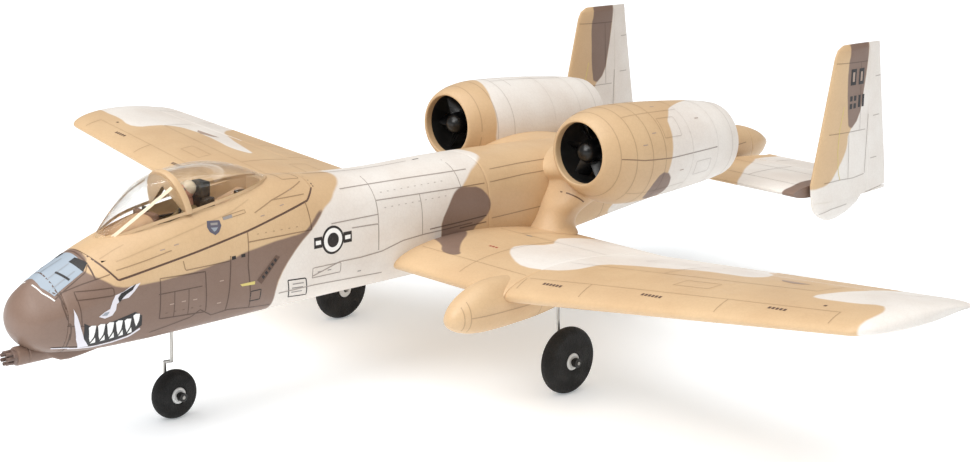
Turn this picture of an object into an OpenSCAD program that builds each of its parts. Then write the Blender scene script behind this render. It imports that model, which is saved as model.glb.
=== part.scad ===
// Model jet with two ducted fans, a straight wing and twin fins, moulded in foam.
// Stations (s) are measured aft from the gun muzzle. The nose points to -Y, +X is the left wing,
// and the origin lies on the ground, midway along the length and on the centreline.

/* [Airframe] */
// Wing span, tip to tip
span = 562; // [560:1:564]
// Length, gun muzzle to tail cone
length = 521; // [519:1:523]
// Height of the wing's chord line above the ground, at the centre section
wing_z = 61.5; // [61:0.1:62]
// Rise of each outer wing panel, in degrees
dihedral = 7; // [6.5:0.1:7.5]
// Where the outer wing panels start, from the centreline
panel_x = 95; // [94:0.5:96]
// Clearance around moving foam parts
foam_gap = 0.4; // [0.3:0.05:0.5]

/* [Nacelles] */
// Distance of each nacelle from the centreline
nacelle_x = 47; // [46.5:0.5:47.5]
// Height of the fans' axis
fan_z = 107; // [106.5:0.1:107.5]
// Radius of the intake and of the fan duct
duct_r = 15.6; // [15.5:0.05:15.7]
// Blades on each fan rotor
blade_count = 6; // [5:1:8]

/* [Landing gear] */
// Diameter of the main tyres
main_tyre_d = 33; // [32.5:0.5:33.5]
// Diameter of the nose tyre
nose_tyre_d = 23; // [22.5:0.5:23.5]
// Radius of the spring-wire gear legs
wire_r = 0.8; // [0.7:0.05:0.9]
// Half the distance between the main wheels
track_half = 82.5; // [82:0.5:83]
// Station of the main axles
main_axle_s = 258; // [257:0.5:259]
// Station of the nose axle and its steering leg
nose_axle_s = 94; // [93:0.5:95]

/* [Control surfaces] */
// Length of the servo arms and control horns that stand out in the airflow
horn_len = 8; // [7.5:0.5:8.5]
// Radius of the pushrod wires
rod_r = 0.5; // [0.4:0.05:0.6]

/* [Hidden] */
$fn = 48;

sand = "#d8b68a";
brown = "#8a6a58";
white = "#efe8e2";
black = "#1c1c1e";
steel = "#b8bcc0";
grey = "#9a9ca0";

// Smooth reading of a table: its first column is the place, and the others follow it.
function slope(t, i) =
    let (a = t[max(i - 1, 0)], b = t[min(i + 1, len(t) - 1)]) (b - a) / (b[0] - a[0]);
function row_at(t, s, i = 0) =
    i < len(t) - 2 && s > t[i + 1][0] ? row_at(t, s, i + 1) :
    let (
        h = t[i + 1][0] - t[i][0],
        u = (s - t[i][0]) / h,
        v = 1 - u
    )
    t[i] * (1 + 2 * u) * v * v + slope(t, i) * h * u * v * v
    + t[i + 1] * u * u * (3 - 2 * u) - slope(t, i + 1) * h * u * u * v;
function lerp(a, b, t) = a + (b - a) * t;

// One closed solid through a list of rings. Each ring turns from +X to +Z as the rings go to +Y.
module skin(rings) {
    n = len(rings[0]);
    last = (len(rings) - 1) * n;
    sides = [
        for (j = [0:len(rings) - 2])
            for (k = [0:n - 1])
                let (a = j * n + k, b = j * n + (k + 1) % n)
                each [[a, b, b + n], [a, b + n, a + n]]
    ];
    cap = [
        for (j = [0:n / 2 - 1])
            let (p = j, q = j + 1, r = (n - j) % n, t = n - j - 1)
            each [if (q != r) [p, q, r], if (q != t && j > 0) [q, t, r], if (j == 0) [q, t, r]]
    ];
    first = [for (c = cap) if (c[0] != c[1] && c[1] != c[2] && c[0] != c[2]) [c[0], c[2], c[1]]];
    end = [for (c = first) [c[0] + last, c[2] + last, c[1] + last]];
    polyhedron(points = [for (r = rings) each r], faces = concat(sides, first, end));
}

// Fuselage sections: station, half width, bottom, widest height, top, squareness below and above
fuselage_table = [
    [3.8, 4, 61, 64.5, 68, 2, 2],
    [5.5, 8.5, 57.5, 65, 72.5, 2, 2],
    [9, 13, 53.8, 66, 77.8, 2.1, 2],
    [14, 16, 51.3, 67.5, 81.6, 2.2, 2],
    [20, 18, 49.8, 69, 84.8, 2.3, 2.05],
    [36, 20.3, 48.3, 71, 90.9, 2.7, 2.1],
    [60, 21.8, 48.2, 72.5, 99, 3, 2.1],
    [85, 22.8, 48.8, 74, 105.5, 3.2, 2.1],
    [113, 23.3, 49.4, 75, 109, 3.3, 2.1],
    [138, 23.5, 49.8, 76, 109.4, 3.3, 2.2],
    [174, 23.6, 50, 76.5, 106, 3.3, 2.4],
    [205, 23.6, 50, 77, 104.6, 3.3, 2.6],
    [250, 23.4, 50.2, 77.5, 105, 3.2, 2.6],
    [310, 22.6, 52.5, 78, 103.6, 3, 2.5],
    [370, 20, 58, 79, 101, 2.8, 2.4],
    [430, 16, 63.5, 80, 97.5, 2.6, 2.3],
    [480, 11.8, 67.2, 80, 93.6, 2.4, 2.2],
    [497, 10.2, 68.6, 80, 91.6, 2.3, 2.1],
    [512, 7.5, 71, 79.5, 87, 2.1, 2],
    [521, 3, 76.5, 79, 82, 2, 2],
];
nose_tip = 3.8;
nose_seam = 20;
joint_s = 262;
cone_s = 497;
// Foam wall where the body is hollow, and the floor of the battery bay
wall = 3.5;
bay_floor = 54;
function power(c, n) = sign(c) * pow(abs(c), 2 / n);
function fuselage_ring(s, shrink = 0) =
    let (r = row_at(fuselage_table, s), w = r[1] - shrink)
    [
        for (k = [0:27])
            let (
                a = 360 * k / 28,
                n = sin(a) < 0 ? r[5] : r[6],
                h = (sin(a) < 0 ? r[3] - r[2] : r[4] - r[3]) - shrink
            )
            [w * power(cos(a), n), s, r[3] + h * power(sin(a), n)]
    ];
module fuselage_between(a, b, steps, shrink = 0) {
    skin([for (j = [0:steps]) fuselage_ring(lerp(a, b, j / steps), shrink)]);
}
module at_stations() {
    translate([0, -length / 2, 0]) children();
}

// Hatch outline seen from the side, grown by the seam gap where it cuts the fuselage
hatch_outline = [
    [44, 80.5], [84, 86.8], [112, 91.6], [148, 99.5], [154, 104], [156, 116], [35, 116], [35, 92.2]
];
module side_prism(outline, half) {
    translate([-half, 0, 0]) rotate([90, 0, 90]) linear_extrude(2 * half) polygon(outline);
}
module plan_prism(outline, low, high) {
    translate([0, 0, low]) linear_extrude(high - low)
        polygon(concat(outline, [for (i = [len(outline) - 1:-1:0]) [-outline[i][0], outline[i][1]]]));
}
seam_gap = 0.3;
hatch_inset = [
    [44 + seam_gap, 80.5 + seam_gap], [84, 86.8 + seam_gap], [112, 91.6 + seam_gap],
    [148 - seam_gap, 99.5 + seam_gap], [154 - seam_gap, 104 + seam_gap],
    [156 - seam_gap, 116], [35 + seam_gap, 116], [35 + seam_gap, 92.2]
];
cockpit_plan = [[2.5, 49], [9, 60], [12, 76], [12.5, 105], [9.5, 124], [5, 131]];
bay_plan = [[13, 45], [16, 60], [17, 150], [17, 196]];
bay_roof = 96;
// Raised pad on the bay floor, for a receiver on hook-and-loop tape
pad_corner = [-7.5, 60];
pad_size = [10, 58];

module front_fuselage() color(brown) at_stations() {
    translate([pad_corner[0], pad_corner[1], bay_floor - 1]) cube([pad_size[0], pad_size[1], 2]);
    difference() {
        fuselage_between(nose_seam, joint_s, 22);
        side_prism(hatch_outline, 30);
        plan_prism(bay_plan, bay_floor, bay_roof);
        plan_prism([[16, 190], [16, joint_s + 1]], 76, bay_roof);
        ballast_block(0.5);
        magnet_pair(0.05);
        gun_shroud();
        wing_centre_shape();
        nose_leg_bore();
    }
}
module rear_fuselage() color(sand) at_stations()
    difference() {
        fuselage_between(joint_s, cone_s, 16);
        fuselage_between(joint_s - 1, 470, 12, wall);
        wing_centre_shape();
        tail_slot();
        elevator_servo_pocket();
    }
module nose_cone() color(brown) at_stations()
    difference() {
        fuselage_between(nose_tip, nose_seam, 8);
        gun_shroud();
    }
module tail_cone() color(sand) at_stations()
    fuselage_between(cone_s, 521, 6);

// Gun: a barrel shroud that fairs into the chin, and seven barrels in a ring
gun_z = 50.3;
gun_end = 26;
chin_outline = [[15, 52], [25, 45], [34, 45.4], [58, 48.6], [58, 52]];
module gun_shroud() {
    translate([0, 5, gun_z]) rotate([-90, 0, 0]) cylinder(r = 4.1, h = gun_end - 5);
}
module gun_barrels() color(brown) at_stations() {
    gun_shroud();
    translate([0, 0, gun_z]) rotate([-90, 0, 0]) {
        translate([0, 0, 3.2]) cylinder(r = 3.3, h = 1.9);
        for (k = [0:6])
            rotate([0, 0, 360 * k / 7]) translate([2.4, 0, 0]) cylinder(r = 0.85, h = 3.4);
    }
    difference() {
        side_prism(chin_outline, 4.6);
        fuselage_between(8, 70, 12);
    }
}

// Wing: one airfoil, set along the span by leading edge, trailing edge, height and thickness
wing_points = 24;
function thickness_at(u) =
    5 * (0.2969 * sqrt(u) - 0.126 * u - 0.3516 * pow(u, 2) + 0.2843 * pow(u, 3) - 0.1036 * pow(u, 4));
function camber_at(u) = 0.1 * u * (1 - u);
function airfoil(n) = [
    for (k = [0:n - 1])
        let (u = (1 + cos(360 * k / n)) / 2, side = k == 0 || k == n / 2 ? 0 : (k < n / 2 ? -1 : 1))
        [u, camber_at(u), side * thickness_at(u)]
];
function wing_ring(x, le, te, z, thick) = [
    for (p = airfoil(wing_points))
        let (c = te - le)
        [x, le + c * p[0], z + c * p[1] + max(thick * abs(p[2]), p[0] > 0.999 ? 0 : 0.35) * sign(p[2])]
];
panel_rise = tan(dihedral);
tip_x = span / 2;
root_te = 312.5;
// Leading edge, trailing edge and thickness along the outer panel
function panel_le(x) = lerp(199, 213.5, (x - panel_x) / 177);
function panel_te(x) = lerp(root_te, 288, (x - panel_x) / 177);
function panel_z(x) = wing_z + panel_rise * (x - panel_x);
function panel_thick(x) = lerp(14, 8.6, (x - panel_x) / 177);
module wing_centre_shape() {
    skin([for (x = [-panel_x, -24, 24, panel_x]) wing_ring(x, 198.5, root_te, wing_z, 14)]);
}
// The outer panel ends in a tip whose leading corner is swept back in a quarter ellipse
tip_width = 15;
tip_sweep = 42;
tip_trim = 4;
module wing_panel_shape() {
    inner = [for (x = [panel_x, 150, 210, tip_x - tip_width])
        wing_ring(x, panel_le(x), panel_te(x), panel_z(x), panel_thick(x))];
    tip = [for (t = [0.3, 0.55, 0.75, 0.88, 0.96, 1])
        let (x = tip_x - tip_width * (1 - t), bend = 1 - sqrt(1 - t * t))
        wing_ring(x, panel_le(x) + tip_sweep * bend, panel_te(x) - tip_trim * bend,
            panel_z(x) - bend, panel_thick(x) * (1 - 0.75 * bend))];
    skin(concat(inner, tip));
}
module wing_centre() color(sand) at_stations()
    difference() {
        wing_centre_shape();
        spar_rod(1.55);
    }
spar_s = 236;
spar_z = wing_z + 2.6;
module spar_rod(r) {
    translate([-90, spar_s, spar_z]) rotate([0, 90, 0]) cylinder(r = r, h = 180);
}
module wing_spar() color(black) at_stations() spar_rod(1.5);

// Ailerons turn on a line at 77% of the chord
aileron_in = 156;
aileron_out = 262;
hinge_share = 0.77;
function hinge_point(x) = [
    x,
    lerp(panel_le(x), panel_te(x), hinge_share),
    panel_z(x) + (panel_te(x) - panel_le(x)) * camber_at(hinge_share)
];
aileron_p = hinge_point(aileron_in);
aileron_line = hinge_point(aileron_out) - aileron_p;
aileron_len = norm(aileron_line);
aileron_r1 = 2.95;
aileron_r2 = 2.15;
module at_aileron() {
    translate(aileron_p)
        rotate([0, -asin(aileron_line[2] / aileron_len), atan2(aileron_line[1], aileron_line[0])])
        children();
}
// Space an aileron fills: a tapered round leading edge and all that is behind it
module aileron_space(grow) {
    at_aileron() {
        translate([-grow, 0, 0]) rotate([0, 90, 0])
            cylinder(r1 = aileron_r1 + grow, r2 = aileron_r2 + grow, h = aileron_len + 2 * grow);
        translate([-grow, 0, -12]) cube([aileron_len + 2 * grow, 40, 24]);
    }
}

// Micro servo: the case lies ahead of its arm's plane, with the shaft pointing along +X
servo_size = [13, 15, 7.6];
module servo_case(grow = 0) {
    translate([-servo_size[0] - 1 - grow, -4 - grow, -servo_size[2] / 2 - grow])
        cube(servo_size + 2 * [grow, grow, grow]);
}
module servo() {
    servo_case();
    translate([-1.01, 0, 0]) rotate([0, 90, 0]) cylinder(r = shaft_r, h = 1.4);
}
// Arm or horn: a thin plate from a shaft at the origin down to a pin hole
plate = 1;
shaft_r = 0.8;
shaft_play = 0.05;
pin_play = 0.08;
module arm_plate(boss_r, bore_r = 0) {
    difference() {
        union() {
            rotate([0, 90, 0]) cylinder(r = boss_r, h = plate, center = true);
            translate([-plate / 2, -1.4, -horn_len]) cube([plate, 2.8, horn_len]);
            translate([0, 0, -horn_len]) rotate([0, 90, 0]) cylinder(r = 1.4, h = plate, center = true);
        }
        translate([0, 0, -horn_len]) rotate([0, 90, 0])
            cylinder(r = rod_r + pin_play, h = 3 * plate, center = true);
        if (bore_r > 0) rotate([0, 90, 0]) cylinder(r = bore_r, h = 3 * plate, center = true);
    }
}
// Slot that a horn swings in
module horn_slot() {
    translate([-plate / 2 - 0.6, -6, -10]) cube([plate + 1.2, 7, 10]);
}
module servo_arm() {
    arm_plate(2, shaft_r + shaft_play);
}
// Pushrod beside the plates: a straight wire whose ends bend into the two pin holes
rod_side = 1.25;
module rod_between(a, b) {
    wire([a - [rod_side, 0, 0], a + [rod_side, 0, 0], b + [rod_side, 0, 0], b - [rod_side, 0, 0]], rod_r);
}
module wire(points, r) {
    for (i = [0:len(points) - 2]) {
        d = points[i + 1] - points[i];
        translate(points[i]) rotate([0, acos(d[2] / norm(d)), atan2(d[1], d[0])])
            cylinder(r = r, h = norm(d));
        if (i > 0) translate(points[i]) sphere(r = r);
    }
}

// Aileron drive, in the aileron's own axes: X along the hinge, Y aft
aileron_horn_x = 12;
aileron_rod_len = 40;
module aileron_servo_place() {
    at_aileron() translate([aileron_horn_x, -aileron_rod_len, 0]) children();
}
module aileron_servo_body(grow) {
    aileron_servo_place() {
        servo_case(grow);
        translate([-1.1, -5.5, -14]) cube([2.2 + rod_side + 0.6, 11, 17]);
    }
}
module wing_left() color(sand) at_stations()
    difference() {
        wing_panel_shape();
        aileron_space(foam_gap);
        aileron_servo_body(0);
        at_aileron() translate([aileron_horn_x, 0, 0]) horn_slot();
    }
module wing_right() mirror([1, 0, 0]) wing_left();
module aileron_left() color(white) at_stations()
    difference() {
        intersection() {
            wing_panel_shape();
            aileron_space(0);
        }
        at_aileron() translate([aileron_horn_x - plate / 2, -1.4, -6]) cube([plate, 2.8, 6]);
    }
module aileron_right() mirror([1, 0, 0]) aileron_left();
module aileron_horn_left() color(black) at_stations() at_aileron()
    translate([aileron_horn_x, 0, 0]) arm_plate(1.4);
module aileron_horn_right() mirror([1, 0, 0]) aileron_horn_left();
module aileron_arm_left() color(white) at_stations() aileron_servo_place() servo_arm();
module aileron_arm_right() mirror([1, 0, 0]) aileron_arm_left();
module aileron_rod_left() color(steel) at_stations() at_aileron()
    translate([aileron_horn_x, 0, -horn_len]) rod_between([0, -aileron_rod_len, 0], [0, 0, 0]);
module aileron_rod_right() mirror([1, 0, 0]) aileron_rod_left();

// Tailplane, elevator and fins
tail_z = 75;
tail_le = 428;
tail_te = 508;
tail_thick = 7;
elevator_s = 484;
elevator_r = 2.35;
tail_half = 89;
elevator_half = 82.5;
cone_clear = 14;
module tail_shape() {
    skin([for (x = [-tail_half, -cone_clear, cone_clear, tail_half])
        [for (p = wing_ring(x, tail_le, tail_te, 0, tail_thick))
            [p[0], p[1], tail_z + p[2] - 0.1 * (p[1] - tail_le) * (tail_te - p[1]) / (tail_te - tail_le)]]]);
}
module elevator_space(x0, x1, grow) {
    translate([x0 - grow, elevator_s, tail_z]) {
        rotate([0, 90, 0]) cylinder(r = elevator_r + grow, h = x1 - x0 + 2 * grow);
        translate([0, 0, -6]) cube([x1 - x0 + 2 * grow, 40, 12]);
    }
}
module tail_slot() {
    intersection() {
        tail_shape();
        translate([-25, tail_le - 5, tail_z - 10]) cube([50, 52, 20]);
    }
    translate([-30, elevator_s, tail_z]) rotate([0, 90, 0]) cylinder(r = 1.1, h = 60);
}
module tailplane() color(sand) at_stations()
    difference() {
        tail_shape();
        translate([-cone_clear - foam_gap, tail_le + 47, tail_z - 10])
            cube([2 * (cone_clear + foam_gap), 60, 20]);
        for (side = [-1, 1])
            elevator_space(side > 0 ? cone_clear : -tail_half - 5,
                side > 0 ? tail_half + 5 : -cone_clear, foam_gap);
        translate([-elevator_horn_x, elevator_s, tail_z]) horn_slot();
    }
elevator_horn_x = 20;
module elevator() color(white) at_stations() {
    difference() {
        intersection() {
            tail_shape();
            for (side = [-1, 1])
                elevator_space(side > 0 ? cone_clear + 1 : -elevator_half,
                    side > 0 ? elevator_half : -cone_clear - 1, 0);
        }
        translate([-elevator_horn_x - plate / 2, elevator_s - 1.4, tail_z - 6]) cube([plate, 2.8, 6]);
    }
    translate([-cone_clear - 3, elevator_s, tail_z]) rotate([0, 90, 0])
        cylinder(r = 0.8, h = 2 * cone_clear + 6);
}
// The elevator's servo, arm, pushrod and horn are on the right, with the servo lower than the hinge
elevator_servo_s = 396;
elevator_drop = 5;
elevator_run = elevator_s - elevator_servo_s;
module elevator_servo_place() {
    mirror([1, 0, 0]) translate([elevator_horn_x, elevator_servo_s, tail_z - elevator_drop]) children();
}
module elevator_servo_pocket() {
    elevator_servo_place() servo_case(0.01);
}
module elevator_horn() color(black) at_stations() mirror([1, 0, 0])
    translate([elevator_horn_x, elevator_s, tail_z]) arm_plate(1.4);
module elevator_arm() color(white) at_stations() elevator_servo_place() servo_arm();
module elevator_rod() color(steel) at_stations() elevator_servo_place()
    translate([0, 0, -horn_len]) rotate([atan(elevator_drop / elevator_run), 0, 0])
        rod_between([0, 0, 0], [0, norm([elevator_run, elevator_drop]), 0]);

fin_x = 92;
// Fin outline: height, leading edge, trailing edge, thickness
fin_table = [
    [68.6, 441, 512, 6.4], [79, 439, 511.3, 6.4], [110, 445.8, 504.5, 5.6],
    [147, 453.6, 496.8, 4.6], [151, 455.6, 496.2, 3.8], [153.4, 460, 495.6, 2],
];
skeg_table = [[57.5, 455.5, 466, 1.5], [60, 449, 476, 4], [64, 443.5, 485, 6], [68.6, 441, 490, 6.4]];
function fin_ring(r) = [
    for (p = airfoil(16))
        [fin_x - r[3] * p[2], r[1] + (r[2] - r[1]) * p[0], r[0]]
];
module fin_main() {
    skin([for (r = fin_table) fin_ring(r)]);
}
rudder_foot = [fin_x, 491.6, 69.4];
rudder_lean = 4.05;
rudder_h = 86;
torque_wire_r = 0.6;
module rudder_space(grow) {
    translate(rudder_foot) rotate([rudder_lean, 0, 0]) {
        translate([0, 0, -grow]) cylinder(r1 = 1.95 + grow, r2 = 1.3 + grow, h = rudder_h + 2 * grow);
        translate([-6, 0, -grow]) cube([12, 40, rudder_h + 2 * grow]);
    }
}
module fin_left() color(sand) at_stations() {
    difference() {
        union() {
            fin_main();
            skin([for (r = skeg_table) fin_ring(r)]);
        }
        rudder_space(foam_gap);
        tail_shape();
    }
}
module fin_right() mirror([1, 0, 0]) fin_left();
module rudder_left() color(white) at_stations()
    difference() {
        intersection() {
            fin_main();
            rudder_space(0);
        }
        translate(rudder_foot) rotate([rudder_lean, 0, 0]) translate([0, 0, -1])
            cylinder(r = torque_wire_r, h = 30);
    }
module rudder_right() mirror([1, 0, 0]) rudder_left();

// Nacelle outline: station, height of the centre, radius
nacelle_table = [
    [300, 106.8, 16.8], [301.5, 106.7, 18.2], [305, 106.2, 20.2], [311, 105, 22.8],
    [320, 103.8, 24.9], [332, 103, 25.6], [350, 102.8, 25], [370, 102.5, 23.8],
    [390, 102.2, 22.2], [400, 102, 21], [406, 101.8, 20],
];
nacelle_front = 300;
nacelle_rear = 406;
nacelle_wall = 2.6;
housing_s = 304;
housing_len = 24;
housing_wall = 1.1;
module nacelle_shape() {
    skin([for (row = nacelle_table)
        [for (k = [0:31])
            [nacelle_x + row[2] * cos(360 * k / 32), row[0], row[1] + row[2] * sin(360 * k / 32)]]]);
}
module at_fan() {
    translate([nacelle_x, 0, fan_z]) rotate([-90, 0, 0]) children();
}
module nacelle_left() color(sand) at_stations()
    difference() {
        nacelle_shape();
        at_fan() translate([0, 0, nacelle_front - 1]) cylinder(r = duct_r, h = 10);
        at_fan() translate([0, 0, housing_s]) cylinder(r = duct_r + housing_wall, h = housing_len);
        nacelle_hollow();
    }
// The cowl is a shell behind the fan, open at the nozzle
module nacelle_hollow() {
    skin([for (j = [0:8])
        let (s = lerp(housing_s + housing_len - 0.5, nacelle_rear + 1, j / 8), row = row_at(nacelle_table, s))
        [for (k = [0:31])
            let (a = 360 * k / 32, r = row[2] - lerp(nacelle_wall + 3, nacelle_wall, min(1, j / 2)))
            [nacelle_x + r * cos(a), s, row[1] + r * sin(a)]]]);
}
module nacelle_right() mirror([1, 0, 0]) nacelle_left();

// Fan: a thin ring with three stator vanes that hold the motor, and a bladed rotor ahead of it
motor_r = 5.5;
rotor_s = 309;
rotor_len = 7;
rotor_tip_r = duct_r - 0.35;
hub_r = 6;
module fan_housing_left() color(black) at_stations() at_fan() {
    translate([0, 0, housing_s]) difference() {
        cylinder(r = duct_r + housing_wall, h = housing_len);
        translate([0, 0, -1]) cylinder(r = duct_r, h = housing_len + 2);
    }
    translate([0, 0, rotor_s + rotor_len + 1]) {
        difference() {
            cylinder(r = motor_r + 1, h = 9);
            translate([0, 0, -1]) cylinder(r = motor_r, h = 11);
        }
        for (k = [0:2])
            rotate([0, 0, 90 + 120 * k]) translate([motor_r + 0.5, -0.5, 1])
                cube([duct_r - motor_r, 1, 7]);
    }
}
module fan_housing_right() mirror([1, 0, 0]) fan_housing_left();
module motor_left() color(grey) at_stations() at_fan() {
    translate([0, 0, rotor_s + rotor_len + 1]) cylinder(r = motor_r, h = 14);
    translate([0, 0, rotor_s + 1]) cylinder(r = 0.75, h = rotor_len + 1);
}
module motor_right() mirror([1, 0, 0]) motor_left();
module fan_rotor_left() color(black) at_stations() at_fan() {
    translate([0, 0, rotor_s])
        difference() {
            union() {
                cylinder(r = hub_r, h = rotor_len);
                translate([0, 0, -7]) rotate_extrude() spinner_profile();
                intersection() {
                    cylinder(r = rotor_tip_r, h = rotor_len);
                    for (k = [0:blade_count - 1])
                        rotate([0, 0, 360 * k / blade_count]) translate([0, 0, rotor_len / 2])
                            rotate([38, 0, 0]) translate([hub_r - 1, -0.4, -7]) cube([duct_r, 0.8, 14]);
                }
            }
            translate([0, 0, 1]) cylinder(r = 0.8, h = rotor_len);
        }
}
module fan_rotor_right() mirror([1, 0, 0]) fan_rotor_left();
module spinner_profile() {
    polygon(concat([[0, 7]], [for (a = [0:15:90]) [hub_r * sin(a), 7 - 7 * cos(a)]]));
}

// Pylons: a streamlined arm from the fuselage to each nacelle, on a column that rises off the wing root
// Column sections: height, front, rear, outer edge
column_table = [
    [62, 284, 319, 41], [66, 285, 319, 36.5], [72, 286, 322, 36.5], [78, 287, 328, 41],
    [84, 289, 338, 45], [92, 292, 352, 47],
];
module column_shape() {
    skin([for (r = column_table)
        [for (k = [0:23])
            let (a = -360 * k / 24, mid = (r[1] + r[2]) / 2)
            [r[3] / 2 + r[3] / 2 * power(cos(a), 2.6), mid + (r[2] - mid) * power(sin(a), 2.6), r[0]]]]);
}
module arm_shape() {
    skin([for (x = [6, 22, 30, 40])
        wing_ring(x, 278 + 0.5 * x, 392 - 0.3 * x, 90 + 0.12 * x, 24 - 0.2 * x)]);
}
module pylon_left_shape() {
    difference() {
        union() {
            column_shape();
            arm_shape();
        }
        nacelle_shape();
        fuselage_between(250, 420, 12);
        wing_centre_shape();
    }
}
module nacelle_saddle() color(sand) at_stations() {
    pylon_left_shape();
    mirror([1, 0, 0]) pylon_left_shape();
}

// Landing gear
axle_z = main_tyre_d / 2;
leg_x = track_half - 5.6;
// Pod sections: station, half width, bottom, top
pod_x = 86.5;
pod_table = [
    [171.5, 1.5, 51.5, 54.5, 53], [173, 4, 49.5, 57.5, 53], [178, 6.8, 47, 62, 54], [186, 8.6, 45.2, 66, 55],
    [196, 9.3, 44.6, 68.4, 56], [210, 9.4, 44.9, 68, 56], [228, 9, 46, 64, 56], [246, 7.6, 48.8, 61, 56],
    [262, 4.6, 53, 59.5, 56],
];
module pod_shape() {
    skin([for (j = [0:14])
        let (s = lerp(171.5, 262, pow(j / 14, 1.25)), r = row_at(pod_table, s))
        [for (k = [0:19])
            let (a = 360 * k / 20, h = sin(a) < 0 ? r[4] - r[2] : r[3] - r[4])
            [pod_x + r[1] * cos(a), s, r[4] + h * sin(a)]]]);
}
module gear_pod_left() color(sand) at_stations()
    difference() {
        pod_shape();
        wing_centre_shape();
        wing_panel_shape();
        main_leg_wire();
    }
module gear_pod_right() mirror([1, 0, 0]) gear_pod_left();
module main_leg_wire() {
    wire([
        [leg_x, main_axle_s - 3, 55], [leg_x, main_axle_s, axle_z], [track_half + 7.6, main_axle_s, axle_z]
    ], wire_r);
}
module main_leg_left() color(steel) at_stations() main_leg_wire();
module main_leg_right() mirror([1, 0, 0]) main_leg_left();
hub_half = 4.2;
axle_play = 0.08;
module wheel_hub(r, half) {
    rotate([0, 90, 0]) difference() {
        cylinder(r = r, h = 2 * half, center = true);
        cylinder(r = wire_r + axle_play, h = 3 * half, center = true);
    }
}
module tyre(d, half, hole) {
    rotate([0, 90, 0]) rotate_extrude() polygon(concat(
        [[hole, half], [hole, -half]],
        [for (a = [-90:15:90]) [d / 2 - half * 0.75 + half * 0.75 * cos(a), half * sin(a)]]
    ));
}
module collar(r) {
    rotate([0, 90, 0]) difference() {
        cylinder(r = r, h = 2.4);
        translate([0, 0, -1]) cylinder(r = wire_r, h = 5);
    }
}
module main_wheel_place() {
    translate([track_half, main_axle_s, axle_z]) children();
}
module main_tyre_left() color(black) at_stations() main_wheel_place() tyre(main_tyre_d, 4, 4.2);
module main_tyre_right() mirror([1, 0, 0]) main_tyre_left();
module main_hub_left() color(grey) at_stations() main_wheel_place() wheel_hub(4.2, hub_half);
module main_hub_right() mirror([1, 0, 0]) main_hub_left();
module wheel_collars() color(steel) at_stations()
    for (side = [0, 1]) mirror([side, 0, 0])
        main_wheel_place() translate([hub_half + 0.6, 0, 0]) collar(2.3);

// Nose leg: upper wire on the steering axis, a sideways jog, then down beside the wheel
nose_x = -12.4;
nose_wheel_x = nose_x + 1.6;
nose_axle_z = nose_tyre_d / 2;
steer_z = 68;
steer_len = 32;
module nose_leg_bore() {
    translate([nose_x, nose_axle_s, 40]) cylinder(r = 1.6, h = 20);
}
module nose_leg() color(steel) at_stations() {
    wire([
        [nose_x, nose_axle_s, steer_z + 2], [nose_x, nose_axle_s, 26.8],
        [nose_x - 5.4, nose_axle_s, 25], [nose_x - 5.4, nose_axle_s, nose_axle_z],
        [nose_wheel_x + 7.6, nose_axle_s, nose_axle_z]
    ], wire_r);
    translate([nose_x, nose_axle_s, steer_z]) rotate([0, -90, 0]) arm_plate(2.2);
    translate([nose_wheel_x + hub_half + 0.6, nose_axle_s, nose_axle_z]) collar(2);
}
module nose_wheel() color(black) at_stations() translate([nose_wheel_x, nose_axle_s, nose_axle_z]) {
    tyre(nose_tyre_d, 4, 2.4);
    wheel_hub(2.4, hub_half);
}
module nose_leg_bearing() color(white) at_stations()
    difference() {
        translate([nose_x - 3.6, nose_axle_s - 5, bay_floor]) cube([7.2, 10, steer_z - bay_floor - 1]);
        translate([nose_x, nose_axle_s, 50]) cylinder(r = wire_r + 0.05, h = 20);
    }
module steering_arm() color(white) at_stations()
    translate([nose_x, nose_axle_s + steer_len, steer_z]) rotate([0, -90, 0]) servo_arm();
module steering_rod() color(steel) at_stations()
    translate([nose_x, nose_axle_s, steer_z]) rotate([0, -90, 0])
        rod_between([0, 0, -horn_len], [0, steer_len, -horn_len]);

// Radio gear in the bay
module servos() color(black) at_stations() {
    for (side = [0, 1]) mirror([side, 0, 0]) aileron_servo_place() servo();
    elevator_servo_place() servo();
    translate([nose_x, nose_axle_s + steer_len, steer_z]) rotate([0, -90, 0]) servo();
}
module battery() color("#3a5a8a") at_stations()
    translate([3, 72, bay_floor]) cube([12.5, 56, 17]);
module control_board() color("#2c6a4a") at_stations()
    translate([-13, 146, bay_floor]) cube([26, 36, 7]);
module magnet_pair(grow) {
    for (side = [-1, 1])
        translate([side * 9, 160, bay_roof - grow]) cylinder(r = 2 + grow, h = 3 + grow);
}
module hatch_magnets() color(steel) at_stations() magnet_pair(0);
module ballast_block(grow) {
    translate([-11 - grow, 33 - grow, bay_floor]) cube([22 + 2 * grow, 24 + 2 * grow, 16 + grow]);
}
module nose_ballast() color(grey) at_stations() ballast_block(0);

// Hatch with the cockpit
module hatch() color(sand) at_stations()
    difference() {
        intersection() {
            fuselage_between(30, 165, 20);
            side_prism(hatch_inset, 30);
        }
        plan_prism(cockpit_plan, 60, 130);
        plan_prism([[13, 40], [16, 60], [17, 100], [15.5, 144]], 60, 88);
    }
// Canopy sections: station, half width, sill height, top
canopy_table = [
    [45, 2, 92.6, 94], [52, 6.4, 94.4, 100.8], [60, 9.8, 97, 108.2], [69, 12, 99.2, 115.6],
    [80, 13.2, 101, 118.9], [92, 13.6, 102.8, 120.3], [104, 13.2, 104.6, 120.3],
    [118, 11.4, 106.4, 117.6], [129, 8.2, 107.8, 113.4], [137, 3.5, 108.6, 109.8],
];
canopy_wall = 0.7;
frame_proud = 0.5;
frame_lean = 5;
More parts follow.
